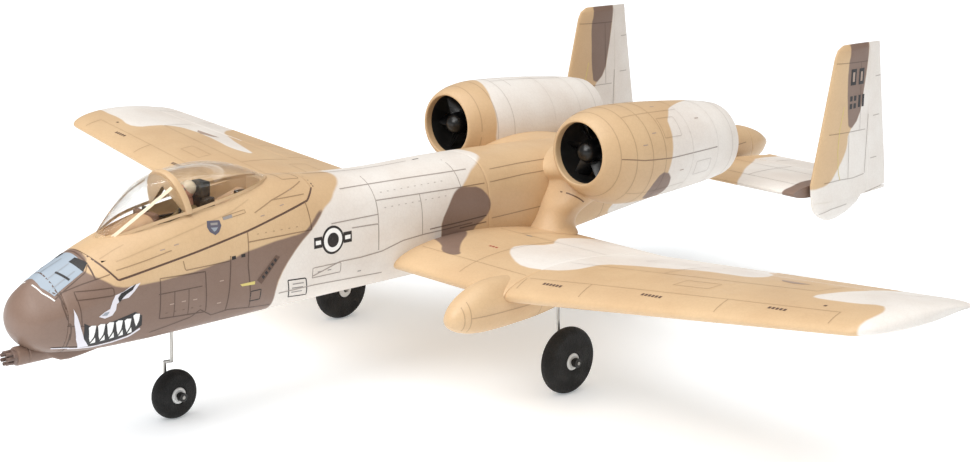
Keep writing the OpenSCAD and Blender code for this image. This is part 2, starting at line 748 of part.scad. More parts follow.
// Point of the canopy at station s and angle a, moved out by grow; lean moves the sills aft
function canopy_point(s, a, grow, lean) =
    let (
        at = s + lean * (1 - sin(a)),
        r = row_at(canopy_table, at),
        h = max(r[3] - r[2] + grow, 0.2)
    )
    [(r[1] + grow) * power(cos(a), 2.2), at, r[2] + h * power(sin(a), 2.2)];
module canopy_shell(s0, s1, steps, grow, depth, lean) {
    skin([for (s = [s0:(s1 - s0) / steps:s1])
        concat(
            [for (a = [0:15:180]) canopy_point(s, a, grow, lean)],
            [for (a = [180:-15:0]) canopy_point(s, a, grow - depth, lean)]
        )]);
}
module canopy() color("#dfe8ea", 0.4) at_stations()
    canopy_shell(45, 137, 16, 0, canopy_wall, 0);
module canopy_frame() color(sand) at_stations()
    canopy_shell(78, 82.5, 2, frame_proud, frame_proud + canopy_wall + 0.4, frame_lean);
module cockpit_tub() color(brown) at_stations() {
    difference() {
        plan_prism(cockpit_plan, 78, 96);
        plan_prism([[7.5, 60], [10.5, 76], [11, 105], [8, 120]], 80, 97);
    }
    translate([-8, 66, 80]) cube([16, 4, 20]);
}
module seat() color(black) at_stations() {
    translate([-6, 88, 80]) cube([12, 16, 6]);
    translate([-6, 100, 86]) cube([12, 5, 20]);
    translate([-4, 99, 106]) cube([8, 5, 7.5]);
}
module pilot() color("#6a6a50") at_stations() {
    translate([0, 95.2, 86.4]) cylinder(r = 4.5, h = 16);
    translate([0, 95.2, 102]) cylinder(r = 2.2, h = 5);
    translate([0, 95, 110.4]) sphere(r = 4.7);
}

nose_cone();
gun_barrels();
front_fuselage();
rear_fuselage();
tail_cone();
wing_centre();
wing_left();
wing_right();
wing_spar();
gear_pod_left();
gear_pod_right();
nacelle_saddle();
nacelle_left();
nacelle_right();
fan_housing_left();
fan_housing_right();
motor_left();
motor_right();
tailplane();
fin_left();
fin_right();
main_leg_left();
main_leg_right();
wheel_collars();
servos();
battery();
control_board();
nose_leg_bearing();
hatch_magnets();
nose_ballast();
hatch();
canopy();
canopy_frame();
cockpit_tub();
seat();
pilot();
fan_rotor_left();
fan_rotor_right();
aileron_left();
aileron_right();
aileron_horn_left();
aileron_horn_right();
aileron_arm_left();
aileron_arm_right();
aileron_rod_left();
aileron_rod_right();
elevator();
elevator_horn();
elevator_arm();
elevator_rod();
rudder_left();
rudder_right();
nose_leg();
nose_wheel();
steering_arm();
steering_rod();
main_tyre_left();
main_tyre_right();
main_hub_left();
main_hub_right();
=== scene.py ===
"""Looks of the foam twin-fan jet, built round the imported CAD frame.

Shapes are given in millimetres as (x, station, z), with stations measured aft from the gun muzzle, as in
part.scad. row() turns them into the frame's metres.
"""
import math

import bmesh
import bpy
import numpy as np
from mathutils import Matrix, Vector
from mathutils.bvhtree import BVHTree


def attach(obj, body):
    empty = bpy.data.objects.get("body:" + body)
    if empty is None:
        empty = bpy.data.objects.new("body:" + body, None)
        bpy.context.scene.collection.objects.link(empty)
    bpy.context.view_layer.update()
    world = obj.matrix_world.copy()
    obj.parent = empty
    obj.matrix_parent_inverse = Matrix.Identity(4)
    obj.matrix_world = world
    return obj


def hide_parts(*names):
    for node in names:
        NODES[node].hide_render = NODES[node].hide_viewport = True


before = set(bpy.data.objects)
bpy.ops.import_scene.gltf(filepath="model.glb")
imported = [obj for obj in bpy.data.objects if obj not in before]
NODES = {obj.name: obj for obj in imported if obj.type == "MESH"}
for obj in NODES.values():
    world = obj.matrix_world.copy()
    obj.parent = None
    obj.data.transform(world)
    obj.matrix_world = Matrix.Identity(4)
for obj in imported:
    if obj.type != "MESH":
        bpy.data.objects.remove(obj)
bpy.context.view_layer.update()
LENGTH = 521.0
PI = math.pi


def row(points):
    """Millimetres with stations to metres in the frame."""
    return (np.asarray(points, float) - (0, LENGTH / 2, 0)) * 0.001


def station(points):
    """Metres in the frame to millimetres with stations."""
    return np.asarray(points, float) * 1000 + (0, LENGTH / 2, 0)


def lerp(a, b, t):
    return a + (b - a) * t


def around_circle(n):
    """Angles of n even steps round a circle."""
    return np.arange(n) * 2 * PI / n


def at_station(s, x, z):
    """Points of a section that stands at one station."""
    return np.stack([x, np.full(len(x), s), z], -1)


def power(c, n):
    """Cosine or sine of a rounded square: n is 2 for an ellipse and more for squarer shapes."""
    return np.sign(c) * np.abs(c) ** (2 / n)


def reading(table, s):
    """The same smooth reading of a table as in part.scad."""
    t = np.asarray(table, float)
    i = int(np.clip(np.searchsorted(t[:, 0], s) - 1, 0, len(t) - 2))

    def slope(k):
        a, b = t[max(k - 1, 0)], t[min(k + 1, len(t) - 1)]
        return (b - a) / (b[0] - a[0])

    h = t[i + 1][0] - t[i][0]
    u = (s - t[i][0]) / h
    v = 1 - u
    return (t[i] * (1 + 2 * u) * v * v + slope(i) * h * u * v * v
            + t[i + 1] * u * u * (3 - 2 * u) - slope(i + 1) * h * u * u * v)


# ---------------------------------------------------------------- mesh tools

SHARP = 38  # degrees between two faces from which their edge shows


def new_object(name, points, faces, material=None, sharp=SHARP):
    mesh = bpy.data.meshes.new(name)
    mesh.from_pydata(row(points).tolist(), [], [tuple(int(i) for i in f) for f in faces])
    mesh.validate()
    ob = bpy.data.objects.new(name, mesh)
    bpy.context.scene.collection.objects.link(ob)
    if material:
        mesh.materials.append(material)
    shade(ob, sharp)
    return ob


def shade(ob, sharp=SHARP):
    ob.data.shade_smooth()
    ob.data.set_sharp_from_angle(angle=math.radians(sharp))


def loft(name, rings, material=None, sharp=SHARP):
    """A closed solid through rings of points that turn from +X to +Z as the rings go to +Y."""
    rings = np.asarray(rings, float)
    n, m, _ = rings.shape
    points = np.concatenate([rings.reshape(-1, 3), rings[0].mean(0)[None], rings[-1].mean(0)[None]])
    i = (np.arange(n - 1) * m)[:, None]
    k = np.arange(m)[None, :]
    a, b = i + k, i + (k + 1) % m
    faces = np.stack([a, a + m, b + m, b], -1).reshape(-1, 4).tolist()
    last = (n - 1) * m
    faces += [(j, (j + 1) % m, n * m) for j in range(m)]
    faces += [(last + (j + 1) % m, last + j, n * m + 1) for j in range(m)]
    return turn_outward(new_object(name, points, faces, material, sharp))


def turn_outward(ob):
    bm = bmesh.new()
    bm.from_mesh(ob.data)
    if bm.calc_volume(signed=True) < 0:
        bmesh.ops.reverse_faces(bm, faces=bm.faces)
        bm.to_mesh(ob.data)
    bm.free()
    return ob


def lathe(name, profile, steps, origin, axis, material):
    """Turned piece about X or Y: profile is (radius, place along the axis), in a closed loop."""
    prof = np.asarray(profile, float)
    ang = around_circle(steps)
    rings = []
    for r, p in prof:
        c, s, q = r * np.cos(ang), r * np.sin(ang), np.full(steps, p)
        rings.append(np.stack((q, c, s) if axis == "X" else (c, q, s), -1))
    n = len(prof)
    points = np.asarray(rings).reshape(-1, 3) + np.asarray(origin, float)
    faces = []
    for j in range(n):
        a0, b0 = j * steps, ((j + 1) % n) * steps
        for k in range(steps):
            k2 = (k + 1) % steps
            faces.append((a0 + k, a0 + k2, b0 + k2, b0 + k))
    return cleaned(new_object(name, points, faces, material), merge=True)


def cleaned(ob, merge=False):
    """The same piece with its faces turned outward and, if asked, points in one place merged."""
    bm = bmesh.new()
    bm.from_mesh(ob.data)
    if merge:
        bmesh.ops.remove_doubles(bm, verts=bm.verts, dist=1e-6)
    bmesh.ops.recalc_face_normals(bm, faces=bm.faces)
    bm.to_mesh(ob.data)
    bm.free()
    shade(ob)
    return ob


def prism(outline, low, high, along):
    """Solid of a 2-D outline: (station, z) along X, (x, station) along Z."""
    o = np.asarray(outline, float)
    n = len(o)
    sides = []
    for place in (low, high):
        q = np.full(n, place)
        sides.append(np.stack((q, o[:, 0], o[:, 1]) if along == "X" else (o[:, 0], o[:, 1], q), -1))
    faces = [tuple(range(n)), tuple(range(2 * n - 1, n - 1, -1))]
    faces += [(k, k + n, (k + 1) % n + n, (k + 1) % n) for k in range(n)]
    return turn_outward(new_object("cutter", np.concatenate(sides), faces))


def both_sides(outline):
    return list(outline) + [(-x, s) for x, s in reversed(outline)]


def rod(a, b, r1, r2=None, sides=40, name="cutter", material=None):
    a, b = np.asarray(a, float), np.asarray(b, float)
    d = (b - a) / np.linalg.norm(b - a)
    side = np.cross(d, (0, 0, 1) if abs(d[2]) < 0.9 else (1, 0, 0))
    side /= np.linalg.norm(side)
    up = np.cross(d, side)
    ang = around_circle(sides)
    ring = np.cos(ang)[:, None] * side + np.sin(ang)[:, None] * up
    return loft(name, [a + ring * r1, b + ring * (r1 if r2 is None else r2)], material)


def block(low, high, matrix=None, name="cutter", material=None):
    (x0, y0, z0), (x1, y1, z1) = low, high
    p = np.array([(x, y, z) for z in (z0, z1) for x, y in ((x0, y0), (x1, y0), (x1, y1), (x0, y1))], float)
    if matrix is not None:
        p = p @ np.array(matrix.to_3x3()).T + np.array(matrix.translation)
    faces = [(3, 2, 1, 0), (4, 5, 6, 7), (0, 1, 5, 4), (1, 2, 6, 5), (2, 3, 7, 6), (3, 0, 4, 7)]
    return turn_outward(new_object(name, p, faces, material))


def applied(ob):
    """The piece with its modifiers turned into mesh."""
    graph = bpy.context.evaluated_depsgraph_get()
    mesh = bpy.data.meshes.new_from_object(ob.evaluated_get(graph))
    ob.modifiers.clear()
    ob.data = mesh
    return ob


def modified(ob, kind, **settings):
    m = ob.modifiers.new("m", kind)
    for key, value in settings.items():
        setattr(m, key, value)
    return applied(ob)


def finished(ob, material=None):
    """Give every face one material, or none."""
    ob.data.materials.clear()
    if material:
        ob.data.materials.append(material)
    ob.data.polygons.foreach_set("material_index", [0] * len(ob.data.polygons))
    return ob


def boolean(ob, cutters, operation="DIFFERENCE"):
    """Cut, join or keep the common part. The cutters are used up, and the piece keeps its own material."""
    for cutter in cutters:
        m = ob.modifiers.new("cut", "BOOLEAN")
        m.operation, m.object, m.solver = operation, cutter, "MANIFOLD"
    applied(ob)
    for cutter in cutters:
        bpy.data.objects.remove(cutter)
    own = [m for m in ob.data.materials if m]
    shade(finished(ob, own[0] if own else None))
    return ob


def mirrored(ob, name):
    copy = ob.copy()
    copy.data = ob.data.copy()
    copy.name = name
    bpy.context.scene.collection.objects.link(copy)
    copy.data.transform(Matrix.Diagonal((-1, 1, 1, 1)))
    copy.data.flip_normals()
    return copy


def joined(obs, name):
    for ob in obs[1:]:
        for m in ob.data.materials:
            if m.name not in [x.name for x in obs[0].data.materials]:
                obs[0].data.materials.append(m)
    with bpy.context.temp_override(active_object=obs[0], selected_editable_objects=obs):
        bpy.ops.object.join()
    obs[0].name = name
    return obs[0]


def piece(ob, body, slot, *replaced):
    """Attach a finished piece to the body it rides on, and hide the CAD node it replaces. The material slot is
    not used.
    """
    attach(ob, body)
    if replaced:
        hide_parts(*replaced)
    return ob


AIRFRAME = ("airframe", "sand_foam")


def fixed(ob, *replaced):
    """A foam piece that belongs to the airframe itself."""
    return piece(ob, *AIRFRAME, *replaced)


# ---------------------------------------------------------------- shape tables, as in part.scad

FUSELAGE = [
    [3.8, 4, 61, 64.5, 68, 2, 2], [5.5, 8.5, 57.5, 65, 72.5, 2, 2], [9, 13, 53.8, 66, 77.8, 2.1, 2],
    [14, 16, 51.3, 67.5, 81.6, 2.2, 2], [20, 18, 49.8, 69, 84.8, 2.3, 2.05],
    [36, 20.3, 48.3, 71, 90.9, 2.7, 2.1], [60, 21.8, 48.2, 72.5, 99, 3, 2.1],
    [85, 22.8, 48.8, 74, 105.5, 3.2, 2.1], [113, 23.3, 49.4, 75, 109, 3.3, 2.1],
    [138, 23.5, 49.8, 76, 109.4, 3.3, 2.2], [174, 23.6, 50, 76.5, 106, 3.3, 2.4],
    [205, 23.6, 50, 77, 104.6, 3.3, 2.6], [250, 23.4, 50.2, 77.5, 105, 3.2, 2.6],
    [310, 22.6, 52.5, 78, 103.6, 3, 2.5], [370, 20, 58, 79, 101, 2.8, 2.4],
    [430, 16, 63.5, 80, 97.5, 2.6, 2.3], [480, 11.8, 67.2, 80, 93.6, 2.4, 2.2],
    [497, 10.2, 68.6, 80, 91.6, 2.3, 2.1], [512, 7.5, 71, 79.5, 87, 2.1, 2], [521, 3, 76.5, 79, 82, 2, 2],
]
NOSE_TIP, NOSE_SEAM, JOINT, CONE = 3.8, 20, 262, 497
FUSELAGE_SIDES = 168  # points round a section
# The nose slopes more from its top to its sides than the plain sections do: how much, at which stations
SHOULDER_AT, SHOULDER_CUT = [3.8, 7, 12, 18, 26, 34, 42, 50], [0, 0.3, 0.5, 0.58, 0.5, 0.32, 0.12, 0]
DENSE = np.linspace(0, PI, 361)


def fuselage_ring(s, shrink):
    """Section of the fuselage with its points evenly spaced along the upper and lower halves."""
    r = reading(FUSELAGE, s)
    slope = np.interp(s, SHOULDER_AT, SHOULDER_CUT)
    halves = []
    for squareness, height in ((r[6] - slope, r[4] - r[3]), (r[5], r[2] - r[3])):
        c, d = np.cos(DENSE), np.sin(DENSE)
        x = (r[1] - shrink) * power(c, squareness)
        z = r[3] + math.copysign(abs(height) - shrink, height) * power(d, squareness)
        run = np.concatenate([[0], np.cumsum(np.hypot(np.diff(x), np.diff(z)))])
        even = np.linspace(0, run[-1], FUSELAGE_SIDES // 2 + 1)
        halves.append((np.interp(even, run, x), np.interp(even, run, z)))
    return at_station(s, *(np.concatenate([upper[:-1], lower[::-1][:-1]]) for upper, lower in zip(*halves)))


def fuselage_part(name, a, b, step=1.7, lips=(0, 0)):
    """Stretch of the fuselage. Its end edges are eased over lips millimetres, which leaves a fine groove."""
    count = max(int((b - a) / step), 2)
    places = [(s, 0.0) for s in np.linspace(a, b, count + 1)]
    for end, inward, lip in ((a, 1, lips[0]), (b, -1, lips[1])):
        if lip:
            places += [(end + inward * lip * 0.35, lip * 0.3), (end + inward * lip, lip * 0.03)]
            places = [(s, lip * 0.9) if s == end else (s, k) for s, k in places]
    places.sort()
    return loft(name, [fuselage_ring(s, k) for s, k in places])


def thickness_at(u):
    return 5 * (0.2969 * np.sqrt(u) - 0.126 * u - 0.3516 * u**2 + 0.2843 * u**3 - 0.1036 * u**4)


def airfoil(n):
    k = np.arange(n)
    u = (1 + np.cos(2 * PI * k / n)) / 2
    side = np.where((k == 0) | (k == n // 2), 0, np.where(k < n / 2, -1, 1))
    return u, 0.1 * u * (1 - u), side * thickness_at(u)


def wing_ring(x, le, te, z, thick, n=220):
    u, camber, half = airfoil(n)
    c = te - le
    floor = np.where(u > 0.999, 0, 0.35)
    y = z + c * camber + np.maximum(thick * np.abs(half), floor) * np.sign(half)
    return np.stack([np.full(n, x), le + c * u, y], -1)


WING_Z, PANEL_X, TIP_X, RISE = 61.5, 95, 281, math.tan(math.radians(7))
ROOT_LE, ROOT_TE, ROOT_THICK = 198.5, 312.5, 14
TIP_WIDTH, TIP_SWEEP, TIP_TRIM = 15, 42, 4


def panel(x):
    """Leading edge, trailing edge, height and thickness of the outer wing panel at x."""
    t = (x - PANEL_X) / 177
    return lerp(199, 213.5, t), lerp(ROOT_TE, 288, t), WING_Z + RISE * (x - PANEL_X), lerp(ROOT_THICK, 8.6, t)


def panel_ring(x):
    le, te, z, thick = panel(x)
    t = max(0.0, (x - (TIP_X - TIP_WIDTH)) / TIP_WIDTH)
    bend = 1 - math.sqrt(max(0.0, 1 - t * t))
    return wing_ring(x, le + TIP_SWEEP * bend, te - TIP_TRIM * bend, z - bend, thick * (1 - 0.75 * bend))


AILERON_IN, AILERON_OUT, HINGE_SHARE, AILERON_R = 156, 262, 0.77, (2.95, 2.15)
FOAM_GAP = 0.4
HORN_X, AILERON_ROD = 12, 40


def hinge_point(x):
    le, te, z, _ = panel(x)
    return Vector((x, lerp(le, te, HINGE_SHARE), z + (te - le) * 0.1 * HINGE_SHARE * (1 - HINGE_SHARE)))


def aileron_axes():
    a, b = hinge_point(AILERON_IN), hinge_point(AILERON_OUT)
    d = b - a
    turn = Matrix.Rotation(math.atan2(d.y, d.x), 4, "Z") @ Matrix.Rotation(-math.asin(d.z / d.length), 4,
                                                                           "Y")
    return Matrix.Translation(a) @ turn, d.length


AILERON_AXES, AILERON_LEN = aileron_axes()


def at_aileron(x, y, z):
    return AILERON_AXES @ Vector((x, y, z))


def aileron_space(grow):
    """Cutters of the space that an aileron fills: its round leading edge, and all that is behind it."""
    return [
        rod(at_aileron(-grow, 0, 0), at_aileron(AILERON_LEN + grow, 0, 0), AILERON_R[0] + grow,
            AILERON_R[1] + grow, 64),
        block((-grow, 0, -12), (AILERON_LEN + grow, 40, 12), AILERON_AXES),
    ]


TAIL_Z, TAIL_LE, TAIL_TE, TAIL_THICK, ELEVATOR_S, ELEVATOR_R = 75, 428, 508, 7, 484, 2.35
TAIL_HALF, ELEVATOR_HALF, CONE_CLEAR, ELEVATOR_HORN_X = 89, 82.5, 14, 20
FIN_X = 92
FIN = [[68.6, 441, 512, 6.4], [79, 439, 511.3, 6.4], [110, 445.8, 504.5, 5.6], [147, 453.6, 496.8, 4.6],
       [151, 455.6, 496.2, 3.8], [153.4, 460, 495.6, 2]]
SKEG = [[57.5, 455.5, 466, 1.5], [60, 449, 476, 4], [64, 443.5, 485, 6], [68.6, 441, 490, 6.4]]
RUDDER_FOOT, RUDDER_LEAN, RUDDER_H = (FIN_X, 491.6, 69.4), math.radians(4.05), 86
NACELLE_X, FAN_Z, DUCT_R = 47, 107, 15.6
NACELLE_Z, NACELLE_ARC = 103.5, 0.42  # middle height of a nacelle, and millimetres of its skin in a degree
NACELLE = [[300, 106.8, 16.8], [301.5, 106.7, 18.2], [305, 106.2, 20.2], [311, 105, 22.8],
           [320, 103.8, 24.9],
           [332, 103, 25.6], [350, 102.8, 25], [370, 102.5, 23.8], [390, 102.2, 22.2], [400, 102, 21],
           [406, 101.8, 20]]
HOUSING_S, HOUSING_LEN, HOUSING_WALL = 304, 24, 1.1
POD_X = 86.5
POD = [[171.5, 1.5, 51.5, 54.5, 53], [173, 4, 49.5, 57.5, 53], [178, 6.8, 47, 62, 54],
       [186, 8.6, 45.2, 66, 55],
       [196, 9.3, 44.6, 68.4, 56], [210, 9.4, 44.9, 68, 56], [228, 9, 46, 64, 56], [246, 7.6, 48.8, 61, 56],
       [262, 4.6, 53, 59.5, 56]]
COLUMN = [[62, 290, 319, 41], [66, 294, 319, 36.5], [72, 298, 322, 36.5], [78, 301, 328, 41],
          [84, 305, 338, 45],
          [92, 310, 352, 47]]
CANOPY = [[45, 2, 92.6, 94], [52, 6.4, 94.4, 100.8], [60, 9.8, 97, 108.2], [69, 12, 99.2, 115.6],
          [80, 13.2, 101, 118.9], [92, 13.6, 102.8, 120.3], [104, 13.2, 104.6, 120.3],
          [118, 11.4, 106.4, 117.6], [129, 8.2, 107.8, 113.4], [137, 3.5, 108.6, 109.8]]
HATCH = [(44, 80.5), (84, 86.8), (112, 91.6), (148, 99.5), (154, 104), (156, 116), (35, 116), (35, 92.2)]
COCKPIT = [(2.5, 49), (9, 60), (12, 76), (12.5, 105), (9.5, 124), (5, 131)]
BAY = [(13, 45), (16, 60), (17, 150), (17, 196)]
GUN_Z = 50.3

# ---------------------------------------------------------------- materials

def linear(rgb):
    """Linear colour of three sRGB values from 0 to 255."""
    c = np.asarray(rgb, float) / 255
    return (*np.where(c <= 0.04045, c / 12.92, ((c + 0.055) / 1.055) ** 2.4), 1.0)


class Nodes:
    """A material's node tree, with short ways to add nodes and read them."""

    def __init__(self, name):
        self.material = bpy.data.materials.new(name)
        self.material.use_nodes = True
        self.tree = self.material.node_tree
        self.surface = self.tree.nodes["Principled BSDF"]
        self.object = self.add("ShaderNodeTexCoord").outputs["Object"]

    def add(self, kind, values=(), **settings):
        node = self.tree.nodes.new(kind)
        for key, value in settings.items():
            setattr(node, key, value)
        for key, value in dict(values).items():
            self.put(node.inputs[key], value)
        return node

    def put(self, socket, value):
        if isinstance(value, bpy.types.NodeSocket):
            self.tree.links.new(value, socket)
        else:
            socket.default_value = value

    def set(self, **values):
        for key, value in values.items():
            self.put(self.surface.inputs[key.replace("_", " ")], value)

    def noise(self, scale, detail, roughness=0.5):
        return self.add("ShaderNodeTexNoise", {"Vector": self.object, "Scale": scale, "Detail": detail,
                                               "Roughness": roughness}).outputs["Fac"]

    def math(self, operation, *values):
        node = self.add("ShaderNodeMath", operation=operation)
        for socket, value in zip(node.inputs, values):
            self.put(socket, value)
        return node.outputs[0]

    def ramp(self, value, low, high, to_low=0.0, to_high=1.0):
        return self.add("ShaderNodeMapRange", {"Value": value, "From Min": low, "From Max": high,
                                               "To Min": to_low, "To Max": to_high},
                        interpolation_type="SMOOTHSTEP").outputs[0]

    def mix(self, share, a, b, blend="MIX"):
        node = self.add("ShaderNodeMix", data_type="RGBA", blend_type=blend)
        self.put(node.inputs["Factor"], share)
        self.put(node.inputs["A"], a)
        self.put(node.inputs["B"], b)
        return node.outputs["Result"]

    def bump(self, height, strength, distance, under=None):
        values = {"Height": height, "Strength": strength, "Distance": distance}
        if under is not None:
            values["Normal"] = under
        return self.add("ShaderNodeBump", values).outputs["Normal"]

    def attribute(self, name):
        return self.add("ShaderNodeAttribute", attribute_name=name).outputs["Fac"]


PAINT_TAN, PAINT_BROWN, PAINT_WHITE = (210, 179, 140), (131, 108, 95), (232, 226, 219)


def foam_material(name):
    """Moulded foam in three paints. Attributes hold each point's depth in mm in the brown and in the white."""
    m = Nodes(name)
    wobble = m.math("MULTIPLY", m.math("SUBTRACT", m.noise(70, 1), 0.5), 1.2)
    in_brown = m.ramp(m.math("ADD", m.attribute("brown"), wobble), -0.55, 0.55)
    in_white = m.ramp(m.math("ADD", m.attribute("white"), wobble), -0.7, 0.7)
    coat = m.mix(in_white, linear(PAINT_TAN), linear(PAINT_WHITE))
    coat = m.mix(in_brown, coat, linear(PAINT_BROWN))
    cloud = m.ramp(m.noise(28, 4, 0.6), 0.3, 0.7)
    coat = m.mix(m.math("MULTIPLY", cloud, 0.16), coat, linear((188, 150, 112)), "MULTIPLY")
    cells = m.add("ShaderNodeTexVoronoi", {"Vector": m.object, "Scale": 420.0}, feature="DISTANCE_TO_EDGE")
    seam = m.ramp(cells.outputs["Distance"], 0.0, 0.12)
    coat = m.mix(m.math("MULTIPLY", m.math("SUBTRACT", 1.0, seam), 0.04), coat, linear((120, 100, 86)),
                 "MULTIPLY")
    # the dark attribute darkens panel lines and seams, and on the pylons it paints shade in creases and
    # recesses
    coat = m.mix(m.attribute("dark"), coat, linear((104, 78, 62)), "MULTIPLY")
    fine = m.bump(m.noise(900, 2), 0.06, 0.0003)
    m.set(Base_Color=coat, Roughness=m.ramp(m.noise(60, 3), 0.2, 0.8, 0.34, 0.48),
          Normal=m.bump(seam, 0.07, 0.0004, fine), Specular_IOR_Level=0.4)
    return m.material


def plastic_material(name, colour, second, rough=0.35, scale=90.0, grain=700.0, coat=0.0):
    """Two shades mixed by clouds, uneven gloss and a fine grain."""
    m = Nodes(name)
    m.set(Base_Color=m.mix(m.ramp(m.noise(scale, 4, 0.6), 0.3, 0.7), linear(colour), linear(second)),
          Roughness=m.ramp(m.noise(scale * 1.7, 3), 0.25, 0.75, rough * 0.8, rough * 1.25),
          Normal=m.bump(m.noise(grain, 2), 0.12, 0.0003), Coat_Weight=coat)
    return m.material


def tyre_material():
    """Black foam rubber: open pores and scuffs that lighten the tread."""
    m = Nodes("tyre_foam")
    pores = m.add("ShaderNodeTexVoronoi", {"Vector": m.object, "Scale": 1500.0}).outputs["Distance"]
    colour = m.mix(m.ramp(pores, 0.1, 0.7), linear((10, 10, 10)), linear((27, 26, 25)))
    colour = m.mix(m.math("MULTIPLY", m.ramp(m.noise(70, 4), 0.45, 0.75), 0.25), colour,
                   linear((44, 42, 40)))
    m.set(Base_Color=colour, Roughness=m.ramp(m.noise(140, 2), 0.3, 0.7, 0.72, 0.9),
          Normal=m.bump(pores, 0.5, 0.0005))
    return m.material


def metal_material(name, colour, rough=0.28):
    """Drawn wire or turned metal with fine streaks."""
    m = Nodes(name)
    drawn = m.add("ShaderNodeMapping", {"Vector": m.object, "Scale": (900.0, 900.0, 60.0)}).outputs[0]
    streaks = m.add("ShaderNodeTexNoise", {"Vector": drawn, "Scale": 1.0, "Detail": 3.0}).outputs["Fac"]
    m.set(Base_Color=m.mix(m.ramp(streaks, 0.3, 0.7), linear(colour), linear([c * 0.72 for c in colour])),
          Metallic=1.0, Roughness=m.ramp(streaks, 0.2, 0.8, rough * 0.7, rough * 1.4),
          Normal=m.bump(streaks, 0.08, 0.0002))
    return m.material


def glass_material():
    """Thin clear canopy with a faint warm tint, slight waviness and a few scuffs."""
    m = Nodes("canopy_clear")
    wave = m.noise(35, 2)
    m.set(Base_Color=m.mix(m.ramp(m.noise(80, 4), 0.55, 0.8), linear((252, 250, 246)),
                           linear((236, 230, 220))),
          Roughness=m.ramp(m.noise(260, 3), 0.5, 0.85, 0.02, 0.10), IOR=1.46, Transmission_Weight=1.0,
          Normal=m.bump(wave, 0.06, 0.001))
    clear = m.add("ShaderNodeBsdfTransparent", {"Color": (0.985, 0.98, 0.97, 1)})
    facing = m.add("ShaderNodeLayerWeight", {"Blend": 0.35}).outputs["Facing"]
    share = m.ramp(facing, 0.0, 1.0, 0.06, 0.42)
    blend = m.add("ShaderNodeMixShader")
    m.put(blend.inputs[0], share)
    m.put(blend.inputs[1], clear.outputs[0])
    m.put(blend.inputs[2], m.surface.outputs[0])
    m.put(m.tree.nodes["Material Output"].inputs["Surface"], blend.outputs[0])
    return m.material


def ink_material(name, colour):
    """Printed marking, slightly worn at a fine scale. The cream ink is no print: on the windscreen posts it is
    a painted highlight.
    """
    m = Nodes(name)
    wear = m.math("MULTIPLY", m.ramp(m.noise(650, 4, 0.7), 0.55, 0.8), 0.35)
    m.set(Base_Color=m.mix(wear, linear(colour), linear([lerp(c, 190, 0.45) for c in colour])),
          Roughness=m.ramp(m.noise(200, 2), 0.2, 0.8, 0.425, 0.575),
          Normal=m.bump(m.noise(900, 2), 0.08, 0.0003))
    return m.material


FOAM = foam_material("foam_paint")
BARREL = plastic_material("barrel_brown", (128, 106, 96), (96, 78, 70), 0.45, 300.0)
BLACK = plastic_material("black_plastic_look", (11, 11, 12), (22, 21, 22), 0.2, coat=0.5)
FAN = plastic_material("fan_black", (7, 7, 8), (14, 14, 15), 0.3)
SATIN = plastic_material("satin_black_look", (18, 17, 17), (32, 31, 30), 0.42)
BROWN = plastic_material("cockpit_brown", (122, 92, 74), (98, 74, 60), 0.6, 70.0, 800.0)
TUB = plastic_material("cockpit_tan", (190, 156, 122), (170, 136, 104), 0.6, 70.0, 800.0)
WHITE = plastic_material("white_plastic_look", (236, 234, 228), (220, 217, 210), 0.4)
PALE_GREY = plastic_material("hub_grey", (240, 240, 238), (222, 222, 220), 0.35)
STEEL = metal_material("spring_wire", (196, 192, 186))
MOTOR = metal_material("motor_can", (120, 118, 116), 0.35)
LEAD = metal_material("ballast_lead", (110, 112, 118), 0.6)
CARBON = plastic_material("carbon_look", (22, 22, 24), (46, 46, 50), 0.3, 600.0, 1500.0)
BATTERY = plastic_material("battery_look", (36, 62, 112), (24, 44, 88), 0.3, 120.0)
BOARD = plastic_material("board_look", (30, 92, 62), (22, 70, 48), 0.4, 240.0)
MAGNET = metal_material("magnet_nickel", (210, 210, 214), 0.2)
SKIN = plastic_material("pilot_skin", (222, 170, 146), (204, 146, 122), 0.5, 200.0)
SUIT = plastic_material("pilot_suit", (150, 128, 92), (120, 100, 70), 0.8, 160.0)
HELMET = plastic_material("pilot_helmet", (222, 206, 180), (206, 188, 160), 0.3, 120.0, coat=0.4)
VISOR = plastic_material("pilot_visor", (18, 18, 20), (34, 34, 38), 0.15, coat=0.6)
TYRE = tyre_material()
GLASS = glass_material()
INK = {name: ink_material("ink_" + name, colour) for name, colour in {
    "highlight_cream": (246, 228, 200), "black": (34, 31, 32), "slate": (150, 156, 164), "blue_grey": (158, 170, 182),
    "white": (244, 242, 238), "brown": (96, 72, 60), "taupe": (168, 146, 132), "yellow": (214, 196, 118),
    "pale": (222, 218, 224), "dark_slate": (92, 88, 100), "red": (172, 66, 56), "grey": (150, 144, 140),
}.items()}

# ---------------------------------------------------------------- paint: depth inside a colour's outline

FAR = 60.0


def depth_in(points, outline):
    """Signed distance of 2-D points inside a closed outline, positive inside."""
    p = np.asarray(points, float)[:, None, :]
    a = np.asarray(outline, float)
    b = np.roll(a, -1, 0)
    d = b - a
    t = np.clip(((p - a) * d).sum(-1) / (d * d).sum(-1), 0, 1)
    near = np.linalg.norm(p - a - t[..., None] * d, axis=-1).min(1)
    y, x = p[..., 1], p[..., 0]
    crosses = (a[:, 1] > y) != (b[:, 1] > y)
    with np.errstate(divide="ignore", invalid="ignore"):
        at = a[:, 0] + (y - a[:, 1]) * d[:, 0] / d[:, 1]
    inside = (crosses & (x < at)).sum(1) % 2 == 1
    return np.where(inside, near, -near)


def smooth_outline(outline, rounds=2):
    """The same outline with its corners rounded."""
    o = np.asarray(outline, float)
    for _ in range(rounds):
        n = np.roll(o, -1, 0)
        o = np.stack([o * 0.75 + n * 0.25, o * 0.25 + n * 0.75], 1).reshape(-1, 2)
    return o


def points_of(ob):
    co = np.zeros(len(ob.data.vertices) * 3)
    ob.data.vertices.foreach_get("co", co)
    return station(co.reshape(-1, 3))


